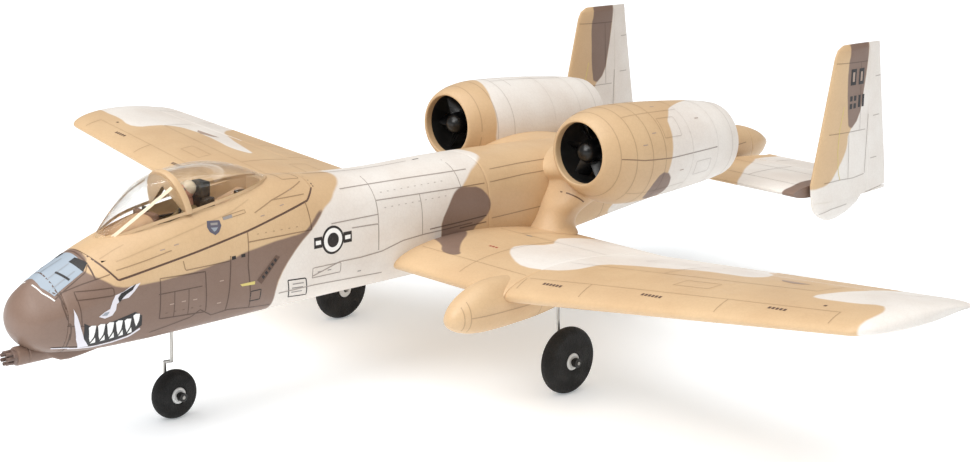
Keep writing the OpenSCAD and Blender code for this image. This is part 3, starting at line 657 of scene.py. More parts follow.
def store(ob, name, values):
    """Keep a number for each of the piece's points, which the foam paint reads."""
    ob.data.attributes.new(name, "FLOAT", "POINT").data.foreach_set("value", values)


def store_depths(ob, scheme):
    p = points_of(ob)
    for name, depth in zip(("brown", "white"), scheme(p)):
        store(ob, name, np.broadcast_to(np.clip(depth, -FAR, FAR), len(p)).astype(np.float32))


def paint(ob, scheme):
    """Store the depths in brown and white that the scheme gives, and use the foam paint."""
    store_depths(ob, scheme)
    ob.data.materials.clear()
    ob.data.materials.append(FOAM)
    return ob


NOSE_BORDER = [(125, 30), (125.7, 54.2), (125.7, 64), (130.1, 72.2), (138.8, 81.5), (147.8, 87.5),
               (155.5, 94.5)]
NOSE_BROWN = smooth_outline([
    (-5, 30), (-5, 100), (36.5, 100), (36.5, 89), (33, 86.5), (31.4, 85), (38.1, 80.9), (42.9, 77.3),
                             (51.9, 76.8),
    (67.6, 77.4), (84.9, 78.8), (100.8, 80.9), (110.2, 83.1), (128.1, 85), (142, 86), (145.5, 88.5),
                             (153, 94.5),
    *NOSE_BORDER[::-1]], 1)
MIDDLE_WHITE = smooth_outline([
    *NOSE_BORDER, (161.8, 97.6),
    (166.4, 101.3), (174.3, 105.5), (178, 108), (182, 120), (272, 120), (269.8, 104.3), (260.6, 101.7),
    (252.6, 98.4), (244.1, 93.2), (238, 88), (228.6, 78.4), (228.9, 72), (228, 30)], 1)
FUSELAGE_BLOB = smooth_outline([
    (240.4, 93.1), (248, 92.7), (256, 91.6), (262, 86), (263.3, 80.8), (260, 76), (251, 72), (246, 60),
                                (228, 60), (228.9, 72),
    (228.6, 78.4), (233.8, 85.9)], 1)
REAR_WHITE = smooth_outline([(356, 60), (366, 72), (380, 84), (392, 96), (400, 108), (432, 112), (424, 96),
                             (430, 82),
                             (418, 72), (404, 56)], 2)


def fuselage_scheme(p):
    side = p[:, 1:]
    return (np.maximum(depth_in(side, NOSE_BROWN), depth_in(side, FUSELAGE_BLOB)),
            np.maximum(depth_in(side, MIDDLE_WHITE), depth_in(side, REAR_WHITE)))


WING_BLOB = smooth_outline([(0, 225), (22, 225), (32.3, 220.9), (38, 214.5), (44.2, 213.6), (47.8, 214.2),
                            (49, 217),
                            (45.5, 219.3), (37.4, 228.7), (28.6, 241.8), (22, 247), (0, 247)], 1)
WING_WHITE = smooth_outline([
    (50, 330), (53.6, 281.5), (57.4, 274.6), (67.3, 261.1), (58.6, 244.7), (63.4, 234.6), (74.9, 225.1),
                             (85.7, 221),
    (96.8, 223.8), (106, 226), (111.5, 232.3), (112.9, 245.7), (126, 250.8), (143.8, 255), (157.9, 262),
    (175.2, 260.6), (184.2, 260.6), (188.6, 267.9), (182.8, 281.6), (171.4, 292), (168, 330)], 1)
WING_TIP = smooth_outline([
    (231.6, 238.7), (238.4, 236.7), (254, 236.9), (265.7, 239.9), (270.6, 233.6), (270.9, 226.8),
                           (269.5, 218.9),
    (270.7, 214), (275, 190), (310, 190), (310, 330), (244, 330), (241, 270.5), (235.6, 251.3)], 1)
RIGHT_BAND = smooth_outline([
    (300, 240), (266, 234), (251.6, 234.5), (238, 230.5), (231, 234), (229.9, 240), (228.9, 250),
                             (223.2, 256.4),
    (216, 258.3), (209, 260.2), (193.5, 258.9), (176, 256.2), (160, 262), (176, 266), (196, 272),
                             (214, 280),
    (226, 300), (226, 330), (300, 330)], 1)
RIGHT_WHITE = smooth_outline([(50, 330), (54, 290), (60, 268), (74, 256), (92, 258), (110, 268), (118, 282),
                              (122, 330)], 2)


def left_wing_scheme(p):
    plan = p[:, :2]
    return depth_in(plan, WING_BLOB), np.maximum(depth_in(plan, WING_WHITE), depth_in(plan, WING_TIP))


def right_wing_scheme(p):
    plan = p[:, :2] * (-1, 1)
    return depth_in(plan, WING_BLOB), np.maximum(depth_in(plan, RIGHT_BAND), depth_in(plan, RIGHT_WHITE))


def wing_scheme(p):
    left, right = left_wing_scheme(p), right_wing_scheme(p)
    return tuple(np.where(p[:, 0] > 0, a, b) for a, b in zip(left, right))


FIN_BORDER = [(467.4, 105.7), (477.6, 112.9), (480.4, 126.9), (483.1, 142.2), (484.5, 160)]
FIN_BROWN = smooth_outline([(465.7, 160), (465.7, 149.7), (463.1, 142.9), (464.6, 119.2), *FIN_BORDER], 1)
FIN_WHITE = smooth_outline([(530, 170), *FIN_BORDER[::-1],
                            (467.3, 97.3), (462.8, 90.7), (457.5, 84.1), (453.9, 79.8), (445.3, 77.3),
                            (430, 76),
                            (420, 40), (530, 40)], 1)
TAIL_WHITE = smooth_outline([(51.6, 420), (51.6, 430.4), (40.9, 448.4), (27.9, 476.2), (22, 484), (22, 520),
                             (110, 520), (110, 420)], 1)
TAIL_BROWN = smooth_outline([(81, 420), (81.6, 429.1), (82.4, 435.8), (80, 450), (84, 470), (78, 490),
                             (80, 520),
                             (110, 520), (110, 420)], 1)


def fin_scheme(p):
    return depth_in(p[:, 1:], FIN_BROWN), depth_in(p[:, 1:], FIN_WHITE)


def tail_scheme(p):
    plan = np.abs(p[:, :2])
    return depth_in(plan, TAIL_BROWN), depth_in(plan, TAIL_WHITE)


def around(p, side):
    """Angle about a nacelle in degrees: 0 outboard, 90 on top."""
    return np.degrees(np.arctan2(p[:, 2] - NACELLE_Z, side * p[:, 0] - NACELLE_X))


EDGE_ANGLES = (-180, -130, -90, -50, -25, 0, 45, 65, 90, 135, 180)
LEFT_EDGE = (372, 366, 363, 344, 341, 343.5, 348, 357, 384, 376, 372)
RIGHT_EDGE = (314, 318, 322, 326, 324, 323, 322, 322, 321.8, 316, 314)


def left_nacelle_scheme(p):
    angle = around(p, 1)
    patch = np.stack([angle, p[:, 1]], -1) * (NACELLE_ARC, 1)
    brown = depth_in(patch, smooth_outline([(-6, 336), (-8, 345), (-18, 349), (-27, 347), (-25, 334),
                                            (-14, 331)], 1))
    return brown, p[:, 1] - np.interp(angle, EDGE_ANGLES, LEFT_EDGE)


def right_nacelle_scheme(p):
    return -FAR, p[:, 1] - np.interp(around(p, -1), EDGE_ANGLES, RIGHT_EDGE)


def plain(brown=-FAR):
    return lambda p: (brown, -FAR)


# ---------------------------------------------------------------- fuselage and hatch

def gun_bore():
    return rod((0, 5, GUN_Z), (0, 26, GUN_Z), 4.1, sides=64)


def centre_ring(x):
    """Section of the wing's middle, which has the same shape all along."""
    return wing_ring(x, ROOT_LE, ROOT_TE, WING_Z, ROOT_THICK)


def wing_centre_cutter():
    return loft("cutter", [centre_ring(x) for x in (-PANEL_X, -24, 24, PANEL_X)])


def inset(outline, gap):
    """The outline moved inward by gap."""
    o = np.asarray(outline, float)
    before, after = o - np.roll(o, 1, 0), np.roll(o, -1, 0) - o
    turn = np.sign((o[:, 0] * np.roll(o[:, 1], -1) - np.roll(o[:, 0], -1) * o[:, 1]).sum())
    n1, n2 = ((np.stack([-d[:, 1], d[:, 0]], -1) / np.linalg.norm(d, axis=1)[:, None]) * turn
              for d in (before, after))
    m = n1 + n2
    return o + m * (gap / (m * n1).sum(1))[:, None]


nose_cone = boolean(fuselage_part("nose_cone_foam", NOSE_TIP, NOSE_SEAM, 0.9, lips=(0, 0.45)), [gun_bore()])
front = boolean(fuselage_part("front_fuselage_foam", NOSE_SEAM, JOINT, lips=(0.45, 0.35)), [
    prism(HATCH, -30, 30, "X"), prism(both_sides(BAY), 54, 96, "Z"),
    prism(both_sides([(16, 190), (16, JOINT + 1)]), 76, 96, "Z"),
    gun_bore(), wing_centre_cutter(), rod((-12.4, 94, 40), (-12.4, 94, 60), 1.6),
    rod((9, 160, 95.9), (9, 160, 99), 2.05), rod((-9, 160, 95.9), (-9, 160, 99), 2.05)])
pad = block((-7.5, 60, 53.5), (2.5, 118, 55), name="pad", material=FOAM)
front = joined([front, pad], "front_fuselage_foam")
rear = fuselage_part("rear_fuselage_foam", JOINT, CONE, lips=(0.35, 0.4))


def tail_ring(x):
    ring = wing_ring(x, TAIL_LE, TAIL_TE, 0, TAIL_THICK, 200)
    s = ring[:, 1]
    ring[:, 2] += TAIL_Z - 0.1 * (s - TAIL_LE) * (TAIL_TE - s) / (TAIL_TE - TAIL_LE)
    return ring


def tail_cutter():
    return loft("cutter", [tail_ring(x) for x in (-TAIL_HALF, TAIL_HALF)])


slot = boolean(tail_cutter(), [block((-25, TAIL_LE - 5, 65), (25, TAIL_LE + 47, 85))], "INTERSECT")
boolean(rear, [wing_centre_cutter(), slot, rod((-30, ELEVATOR_S, TAIL_Z), (30, ELEVATOR_S, TAIL_Z), 1.1),
               block((-20 + 1 - 0.01, 392, 66.2), (-20 + 14.01, 407, 73.8))])
cone = fuselage_part("tail_cone_foam", CONE, LENGTH, 1.0, lips=(0.4, 0))

hatch = boolean(fuselage_part("hatch_foam", 30, 165, 1.4), [prism(inset(HATCH, 0.3), -30, 30, "X")],
                "INTERSECT")
boolean(hatch, [prism(both_sides(COCKPIT), 60, 130, "Z"),
                prism(both_sides([(13, 40), (16, 60), (17, 100), (15.5, 144)]), 60, 88, "Z")])

for ob, node in ((nose_cone, "nose_cone"), (front, "front_fuselage"), (rear, "rear_fuselage"),
                 (cone, "tail_cone")):
    fixed(paint(ob, fuselage_scheme), node)
piece(paint(hatch, fuselage_scheme), "hatch_group", "sand_foam", "hatch")

# Gun: shroud with rings, muzzle disc with seven bored barrels, chin fairing
shroud = lathe("gun_shroud", [(3.4, 5), (3.9, 5.2), (4.1, 5.8), (4.1, 9.6), (3.8, 9.9), (3.8, 10.3),
                              (4.1, 10.6),
                              (4.1, 26), (0.01, 26), (0.01, 5)], 64, (0, 0, GUN_Z), "Y", FOAM)
disc = lathe("gun_disc", [(3.1, 3.2), (3.3, 3.4), (3.3, 5.1), (0.01, 5.1), (0.01, 3.2)], 48, (0, 0, GUN_Z),
             "Y", BARREL)
barrels = []
for k in range(7):
    x, z = 2.4 * math.cos(2 * PI * k / 7), 2.4 * math.sin(2 * PI * k / 7)
    barrels.append(lathe(f"barrel_{k}", [(0.5, 1.2), (0.5, 0.1), (0.6, 0), (0.8, 0.1), (0.85, 0.3),
                                         (0.85, 3.4),
                                         (0.01, 3.4), (0.01, 1.2)], 24, (x, 0, GUN_Z - z), "Y", BARREL))
chin = prism([(15, 52), (19, 48.2), (25, 45.5), (29, 45.2), (34, 45.6), (46, 47.2), (58, 49), (58, 52)],
             -4.6, 4.6, "X")
chin.data.materials.append(FOAM)
modified(chin, "BEVEL", width=0.0014, segments=4, limit_method="ANGLE", angle_limit=0.9)
boolean(chin, [fuselage_part("cutter", 8, 70), gun_bore()])
for ob in (shroud, chin):
    paint(ob, plain(brown=FAR))
gun = joined([shroud, disc, chin] + barrels, "gun")
piece(gun, "airframe", "black_plastic", "gun_barrels")

# ---------------------------------------------------------------- wing

LIP = 0.4


def eased(ring, end, amount):
    """A section shrunk slightly towards its middle, at the end of a piece."""
    middle = (ring.max(0) + ring.min(0)) / 2
    size = (ring.max(0) - ring.min(0)) / 2
    scale = np.array([1, 1 - amount / size[1], 1 - amount / size[2]])
    out = middle + (ring - middle) * scale
    out[:, 0] = end
    return out


def lipped(places, ring_at, ends):
    """Sections at places, eased over LIP millimetres at the named ends (0 first, -1 last)."""
    rings = [ring_at(x) for x in places]
    for end in ends:
        at = places[end] + (LIP if end == 0 else -LIP)
        rings[end] = eased(rings[end], places[end], LIP * 0.8)
        rings.insert(1 if end == 0 else -1, eased(ring_at(at), at, 0.02))
    return rings


centre = loft("wing_centre_foam", lipped(np.linspace(-PANEL_X, PANEL_X, 121), centre_ring, (0, -1)))
boolean(centre, [rod((-90, 236, WING_Z + 2.6), (90, 236, WING_Z + 2.6), 1.55)])
fixed(paint(centre, wing_scheme), "wing_centre")

PANEL_PLACES = np.concatenate([np.linspace(PANEL_X, TIP_X - TIP_WIDTH, 106),
                               TIP_X - TIP_WIDTH + TIP_WIDTH * np.sin(np.linspace(0.08, PI / 2, 20))])


def whole_panel(name, ends=()):
    return loft(name, lipped(PANEL_PLACES, panel_ring, ends))


def horn_slot(matrix):
    return block((-1.1, -6, -10), (1.1, 1, 0), matrix)


HORN_PLACE = AILERON_AXES @ Matrix.Translation((HORN_X, 0, 0))
SERVO_PLACE = AILERON_AXES @ Matrix.Translation((HORN_X, -AILERON_ROD, 0))
wing_left = boolean(whole_panel("wing_left_foam", (0,)), aileron_space(FOAM_GAP) + [
    block((-14, -4, -3.8), (-1, 11, 3.8), SERVO_PLACE), block((-1.1, -5.5, -14), (2.95, 5.5, 3),
                                                              SERVO_PLACE),
    horn_slot(HORN_PLACE)])
space = aileron_space(0)
boolean(space[0], [space[1]], "UNION")
aileron_left = boolean(whole_panel("aileron_left_foam"), [space[0]], "INTERSECT")
boolean(aileron_left, [block((-0.5, -1.4, -6), (0.5, 1.4, 0), HORN_PLACE)])
wing_right, aileron_right = mirrored(wing_left, "wing_right_foam"), mirrored(aileron_left,
                                                                             "aileron_right_foam")
for word, wing, aileron, scheme in (("left", wing_left, aileron_left, left_wing_scheme),
                                    ("right", wing_right, aileron_right, right_wing_scheme)):
    fixed(paint(wing, scheme), f"wing_{word}")
    piece(paint(aileron, scheme), f"aileron_{word}_body", "white_foam", f"aileron_{word}")


def pod_ring(s):
    _, half_width, low, high, middle = reading(POD, s)
    a = around_circle(64)
    h = np.where(np.sin(a) < 0, middle - low, high - middle)
    return at_station(s, POD_X + half_width * np.cos(a), middle + h * np.sin(a))


pod_left = loft("gear_pod_left_foam", [pod_ring(lerp(171.5, 262, (j / 58) ** 1.25)) for j in range(59)])
boolean(pod_left, [wing_centre_cutter(), whole_panel("cutter"),
                   rod((76.9, 255, 55.5), (76.9, 257.9, 18), 0.8)])
pod_right = mirrored(pod_left, "gear_pod_right_foam")
for ob, node in ((pod_left, "gear_pod_left"), (pod_right, "gear_pod_right")):
    fixed(paint(ob, plain()), node)

# ---------------------------------------------------------------- nacelles, fans and pylons


DUCT_ANGLES = around_circle(128)


def nacelle_ring(s, shrink=0.0):
    _, middle, radius = reading(NACELLE, s)
    r = radius - shrink
    return at_station(s, NACELLE_X + r * np.cos(DUCT_ANGLES), middle + r * np.sin(DUCT_ANGLES))


def duct_ring(s, r):
    return at_station(s, NACELLE_X + r * np.cos(DUCT_ANGLES), FAN_Z + r * np.sin(DUCT_ANGLES))


def torus_loft(name, rings):
    """A solid whose rings run down the outside and back through the inside."""
    rings = np.asarray(rings, float)
    n, m, _ = rings.shape
    i = (np.arange(n) * m)[:, None]
    j = (np.roll(np.arange(n), -1) * m)[:, None]
    k = np.arange(m)[None, :]
    k2 = (k + 1) % m
    faces = np.stack([i + k, j + k, j + k2, i + k2], -1).reshape(-1, 4).tolist()
    return turn_outward(new_object(name, rings.reshape(-1, 3), faces))


HOUSING_END = HOUSING_S + HOUSING_LEN
outer = [nacelle_ring(s) for s in np.concatenate([[300.25, 300.7], np.linspace(301.5, 312, 14),
                                                  np.linspace(313.3, 405.4, 64), [406]])]
lip = [duct_ring(300.05, 16.4), duct_ring(300, 16.15), duct_ring(300.05, 15.9), duct_ring(300.3, 15.68)]
inner = [nacelle_ring(s, lerp(5.6, 2.6, min(1, (s - HOUSING_END) / 16)))
         for s in np.linspace(406, HOUSING_END, 26)]
inner += [duct_ring(HOUSING_END, DUCT_R + HOUSING_WALL), duct_ring(HOUSING_S, DUCT_R + HOUSING_WALL),
          duct_ring(HOUSING_S, DUCT_R), duct_ring(301, DUCT_R)]
nacelle_left = torus_loft("nacelle_left_foam", outer + inner + lip[::-1])
nacelle_right = mirrored(nacelle_left, "nacelle_right_foam")
fixed(paint(nacelle_left, left_nacelle_scheme), "nacelle_left")
fixed(paint(nacelle_right, right_nacelle_scheme), "nacelle_right")

ROTOR_S, ROTOR_LEN, HUB_R, TIP_R, BLADES = 309, 7, 6, 15.25, 6


def fan_blade(k):
    """A twisted, cambered blade from the hub to the tip."""
    rows, across = 12, 13
    front, back = [], []
    for i in range(rows):
        r = lerp(HUB_R - 0.6, TIP_R, i / (rows - 1))
        pitch = math.radians(lerp(52, 32, i / (rows - 1)))
        chord = lerp(9.0, 8.2, i / (rows - 1))
        for j in range(across):
            u = j / (across - 1) - 0.5
            arch = 0.9 * (0.25 - u * u) * 1.6
            half = 0.42 * math.sqrt(max(0.0, 1 - (2 * u) ** 2)) + 0.05
            for side, out in ((1, front), (-1, back)):
                along = u * chord * math.cos(pitch) - (arch + side * half) * math.sin(pitch)
                run = u * chord * math.sin(pitch) + (arch + side * half) * math.cos(pitch)
                angle = 2 * PI * k / BLADES + run / r
                place = min(max(along, -ROTOR_LEN / 2 + 0.05), ROTOR_LEN / 2 - 0.05)
                out.append((NACELLE_X + r * math.cos(angle), ROTOR_S + ROTOR_LEN / 2 + place,
                            FAN_Z + r * math.sin(angle)))
    n = len(front)
    faces = []
    for i in range(rows - 1):
        for j in range(across - 1):
            a = i * across + j
            faces += [(a, a + 1, a + across + 1, a + across),
                      (n + a, n + a + across, n + a + across + 1, n + a + 1)]
        for j in (0, across - 1):
            a = i * across + j
            faces.append((a, a + across, n + a + across, n + a))
    for i in (0, rows - 1):
        for j in range(across - 1):
            a = i * across + j
            faces.append((a, a + 1, n + a + 1, n + a))
    return cleaned(new_object(f"blade_{k}", front + back, faces, FAN))


spinner = [(HUB_R * math.sin(a), ROTOR_S - 7 * math.cos(a)) for a in np.linspace(0.02, PI / 2, 22)]
hub = lathe("fan_hub", spinner + [(HUB_R, ROTOR_S + ROTOR_LEN), (0.8, ROTOR_S + ROTOR_LEN),
                                  (0.8, ROTOR_S + 1),
                                  (0.01, ROTOR_S + 1)], 96, (NACELLE_X, 0, FAN_Z), "Y", FAN)
fan_left = joined([hub] + [fan_blade(k) for k in range(BLADES)], "fan_rotor_left_look")
fan_right = mirrored(fan_left, "fan_rotor_right_look")
piece(fan_left, "fan_left", "black_plastic", "fan_rotor_left")
piece(fan_right, "fan_right", "black_plastic", "fan_rotor_right")


def column_ring(height):
    z, front_s, rear_s, outer_x = reading(COLUMN, height)
    a = -around_circle(96)
    mid = (front_s + rear_s) / 2
    x = outer_x / 2 + outer_x / 2 * power(np.cos(a), 2.6)
    return np.stack([x, mid + (rear_s - mid) * power(np.sin(a), 2.6), np.full(len(a), z)], -1)


column = loft("column", [column_ring(z) for z in np.linspace(62, 92, 31)])
arm = loft("arm", [wing_ring(x, 300 + 0.2 * x, 392 - 0.3 * x, 90 + 0.12 * x, 20 - 0.12 * x, 160)
                   for x in np.linspace(6, 40, 24)])
saddle_left = boolean(column, [arm], "UNION")
modified(saddle_left, "REMESH", mode="VOXEL", voxel_size=0.0009)
modified(saddle_left, "SMOOTH", factor=0.5, iterations=14)
boolean(saddle_left, [loft("cutter", [nacelle_ring(s) for s in np.linspace(300, 406, 70)]),
                      fuselage_part("cutter", 250, 420), wing_centre_cutter()])
saddle_right = mirrored(saddle_left, "saddle_right")
saddle = joined([saddle_left, saddle_right], "nacelle_saddle_foam")
fixed(paint(saddle, plain()), "nacelle_saddle")

# ---------------------------------------------------------------- tail


def elevator_space(x0, x1, grow):
    return [rod((x0 - grow, ELEVATOR_S, TAIL_Z), (x1 + grow, ELEVATOR_S, TAIL_Z), ELEVATOR_R + grow,
                sides=64),
            block((x0 - grow, ELEVATOR_S, TAIL_Z - 6), (x1 + grow, ELEVATOR_S + 40, TAIL_Z + 6))]


def tail_solid(name):
    return loft(name, [tail_ring(x) for x in np.linspace(-TAIL_HALF, TAIL_HALF, 113)])


gap = CONE_CLEAR + FOAM_GAP
ELEVATOR_HORN = Matrix.Translation((-ELEVATOR_HORN_X, ELEVATOR_S, TAIL_Z))
tailplane = boolean(tail_solid("tailplane_foam"), [block((-gap, TAIL_LE + 47, 65),
                                                         (gap, TAIL_LE + 107, 85))]
                    + elevator_space(CONE_CLEAR, TAIL_HALF + 5, FOAM_GAP)
                    + elevator_space(-TAIL_HALF - 5, -CONE_CLEAR, FOAM_GAP) + [horn_slot(ELEVATOR_HORN)])
halves = []
for x0, x1 in ((CONE_CLEAR + 1, ELEVATOR_HALF), (-ELEVATOR_HALF, -CONE_CLEAR - 1)):
    keep = elevator_space(x0, x1, 0)
    boolean(keep[0], [keep[1]], "UNION")
    halves.append(boolean(tail_solid("elevator_half"), [keep[0]], "INTERSECT"))
boolean(halves[1], [block((-0.5, -1.4, -6), (0.5, 1.4, 0), ELEVATOR_HORN)])
wire = rod((-17, ELEVATOR_S, TAIL_Z), (17, ELEVATOR_S, TAIL_Z), 0.8, name="elevator_wire", material=STEEL)
for ob in halves:
    paint(ob, tail_scheme)
elevator = joined(halves + [wire], "elevator_foam")
fixed(paint(tailplane, tail_scheme), "tailplane")
piece(elevator, "elevator_body", "white_foam", "elevator")


def fin_ring(section):
    z, le, te, thick = section
    u, _, half = airfoil(120)
    return np.stack([FIN_X - thick * half, le + (te - le) * u, np.full(len(u), z)], -1)


def table_rows(table, step):
    """Rows of a table read straight between its own, close together."""
    t = np.asarray(table, float)
    z = np.unique(np.concatenate([t[:, 0], np.arange(t[0, 0], t[-1, 0], step)]))
    return np.stack([z] + [np.interp(z, t[:, 0], t[:, c]) for c in range(1, t.shape[1])], -1)


def fin_main(name):
    rows = table_rows(FIN, 1.4)
    rows[-1] = rows[-1] * (1, 1, 1, 0.8) + (0, 0.35, -0.35, 0)
    return loft(name, [fin_ring(r) for r in rows])


LEAN = Matrix.Translation(RUDDER_FOOT) @ Matrix.Rotation(RUDDER_LEAN, 4, "X")


def rudder_space(grow):
    return [rod(LEAN @ Vector((0, 0, -grow)), LEAN @ Vector((0, 0, RUDDER_H + grow)), 1.95 + grow,
                1.3 + grow, 64),
            block((-6, 0, -grow), (6, 40, RUDDER_H + grow), LEAN)]


fin_left = boolean(fin_main("fin_left_foam"), [loft("skeg",
                                                    [fin_ring(r) for r in table_rows(SKEG, 1.0)[:-1]]
                                                    + [fin_ring([68.62, 441, 490, 6.4])])], "UNION")
boolean(fin_left, rudder_space(FOAM_GAP) + [tail_cutter()])
keep = rudder_space(0)
boolean(keep[0], [keep[1]], "UNION")
rudder_left = boolean(fin_main("rudder_left_foam"), [keep[0]], "INTERSECT")
boolean(rudder_left, [rod(LEAN @ Vector((0, 0, -1)), LEAN @ Vector((0, 0, 29)), 0.6)])
fin_right, rudder_right = mirrored(fin_left, "fin_right_foam"), mirrored(rudder_left, "rudder_right_foam")
for word, fin, rudder in (("left", fin_left, rudder_left), ("right", fin_right, rudder_right)):
    fixed(paint(fin, fin_scheme), f"fin_{word}")
    piece(paint(rudder, fin_scheme), f"rudder_{word}_body", "white_foam", f"rudder_{word}")

# ---------------------------------------------------------------- canopy and cockpit


def canopy_ring(s, grow, lean=0.0):
    """Section of the canopy, grown outward. It may lean, so that its feet stand further aft than its top."""
    out = []
    for a in np.linspace(0, PI, 64):
        at = s + lean * (1 - math.sin(a))
        _, half_width, sill, top = reading(CANOPY, at)
        height = max(top - sill + grow, 0.2)
        x = (half_width + grow) * power(math.cos(a), 2.2)
        out.append((x, at, sill + height * power(math.sin(a), 2.2)))
    return np.array(out)


glass = loft("canopy_glass", [np.concatenate([canopy_ring(s, 0), canopy_ring(s, -0.7)[::-1]])
                              for s in np.linspace(45.2, 136.8, 70)], GLASS, sharp=50)
bow = loft("canopy_bow", [np.concatenate([canopy_ring(s, grow, 5), canopy_ring(s, -1.1, 5)[::-1]])
                          for s, grow in ((78.7, 0.2), (79.0, 0.48), (80.2, 0.55), (81.5, 0.48),
                                          (81.8, 0.2))])
piece(glass, "hatch_group", "clear_canopy", "canopy")
piece(paint(bow, plain()), "hatch_group", "sand_foam", "canopy_frame")

tub = prism(both_sides(COCKPIT), 78, 96, "Z")
boolean(tub, [prism(both_sides([(7.5, 60), (10.5, 76), (11, 105), (8, 120)]), 80, 97, "Z")])
DECK_COS, DECK_SIN = np.cos(np.linspace(0, PI, 48)), np.sin(np.linspace(0, PI, 48))
coaming = block((-8.4, 70.6, 88), (8.4, 73.4, 102.6), name="coaming")
modified(coaming, "BEVEL", width=0.0012, segments=4, limit_method="NONE")
panel_face = block((-6.6, 73.2, 89), (6.6, 73.6, 100.4), name="panel_face")
tub.data.materials.append(TUB)
coaming.data.materials.append(BROWN)
front_deck = loft("front_deck", [np.stack([np.interp(s, [49.5, 60, 72],
                                                     [2.0, 7.4, 9.4]) * power(DECK_COS, 3.0),
                                           np.full(len(DECK_COS), s),
                                           92 + (np.interp(s, [49.5, 58, 68, 72],
                                                           [94.6, 98, 101, 101.6]) - 92)
                                           * power(DECK_SIN, 3.0)], -1) for s in np.linspace(49.5, 72, 24)],
                  TUB)
panel_face.data.materials.append(SATIN)
sight = block((-1.9, 71.2, 102.4), (1.9, 71.9, 104.6), name="sight", material=SATIN)
deck = prism([(109.2, 96.2), (109.2, 97.6), (111, 98.6), (127, 104.2), (128.6, 104), (128.6, 96.2)], -7.6,
             7.6, "X")
deck.data.materials.append(TUB)
modified(deck, "BEVEL", width=0.0006, segments=3, limit_method="ANGLE", angle_limit=0.6)
strap = block((-1.2, 121, 102.4), (1.2, 126.5, 104.6), name="deck_slot", material=SATIN)
dials = [lathe(f"dial_{i}", [(0.95, 73.5), (0.95, 73.72), (0.7, 73.8), (0.01, 73.8), (0.01, 73.5)], 24,
               (x, 0, z), "Y",
               PALE_GREY) for i, (x, z) in enumerate(((-4, 95), (-1.4, 95), (1.4, 95), (4, 95), (-3, 92),
                                                      (0, 92), (3, 92)))]
sides = [block((x - 0.8, 74, 95.9), (x + 0.8, 100, 96.5), name="console", material=SATIN)
         for x in (-9.6, 9.6)]
tub = joined([tub, front_deck, coaming, panel_face, sight, deck, strap] + dials + sides, "cockpit")
piece(tub, "hatch_group", "cockpit_paint", "cockpit_tub")

seat_parts = [block((-6, 88, 80), (6, 104, 86), name="seat"),
              block((-6, 100, 86), (6, 105, 105), name="back"),
              block((-4, 99, 105), (4, 104, 112), name="headrest"),
              block((-3.4, 98.8, 106), (3.4, 99.2, 111), name="pad"),
              block((-6, 88.5, 86), (-4.8, 101, 92), name="arm"),
              block((4.8, 88.5, 86), (6, 101, 92), name="arm")]
for ob in seat_parts:
    modified(ob, "BEVEL", width=0.0008, segments=3, limit_method="NONE")
    ob.data.materials.append(SATIN)
piece(joined(seat_parts, "ejection_seat"), "hatch_group", "seat_black", "seat")


def ball(name, centre_at, radii, material, rings=32, sides_of=40):
    """A rounded form with three radii."""
    a = around_circle(sides_of)
    out = [at_station(-radii[1] * math.cos(t), radii[0] * np.sin(t) * np.cos(a),
                      radii[2] * np.sin(t) * np.sin(a))
           for t in np.linspace(0.02, PI - 0.02, rings)]
    return loft(name, np.asarray(centre_at, float) + out, material)


def limb(name, points, radii, material):
    """A rounded limb through a few points."""
    p = np.asarray(points, float)
    t = np.linspace(0, len(p) - 1, 26)
    line = np.stack([np.interp(t, range(len(p)), p[:, c]) for c in range(3)], -1)
    for _ in range(4):
        line[1:-1] = (line[:-2] + 2 * line[1:-1] + line[2:]) / 4
    r = np.interp(t, range(len(p)), radii)
    r[0], r[-1] = r[0] * 0.5, r[-1] * 0.5
    return tube(name, line, r, material)


def tube(name, line, r, material):
    """A round tube along a line, with a radius for each of its points."""
    d = np.gradient(line, axis=0)
    d /= np.linalg.norm(d, axis=1)[:, None]
    a = around_circle(20)
    side = np.cross(d[0], (0, 0, 1) if abs(d[0][2]) < 0.9 else (1, 0, 0))
    rings = []
    for p, direction, radius in zip(line, d, r):
        side = side - direction * side.dot(direction)
        side /= np.linalg.norm(side)
        up = np.cross(direction, side)
        rings.append(p + radius * (np.cos(a)[:, None] * side + np.sin(a)[:, None] * up))
    return loft(name, rings, material)


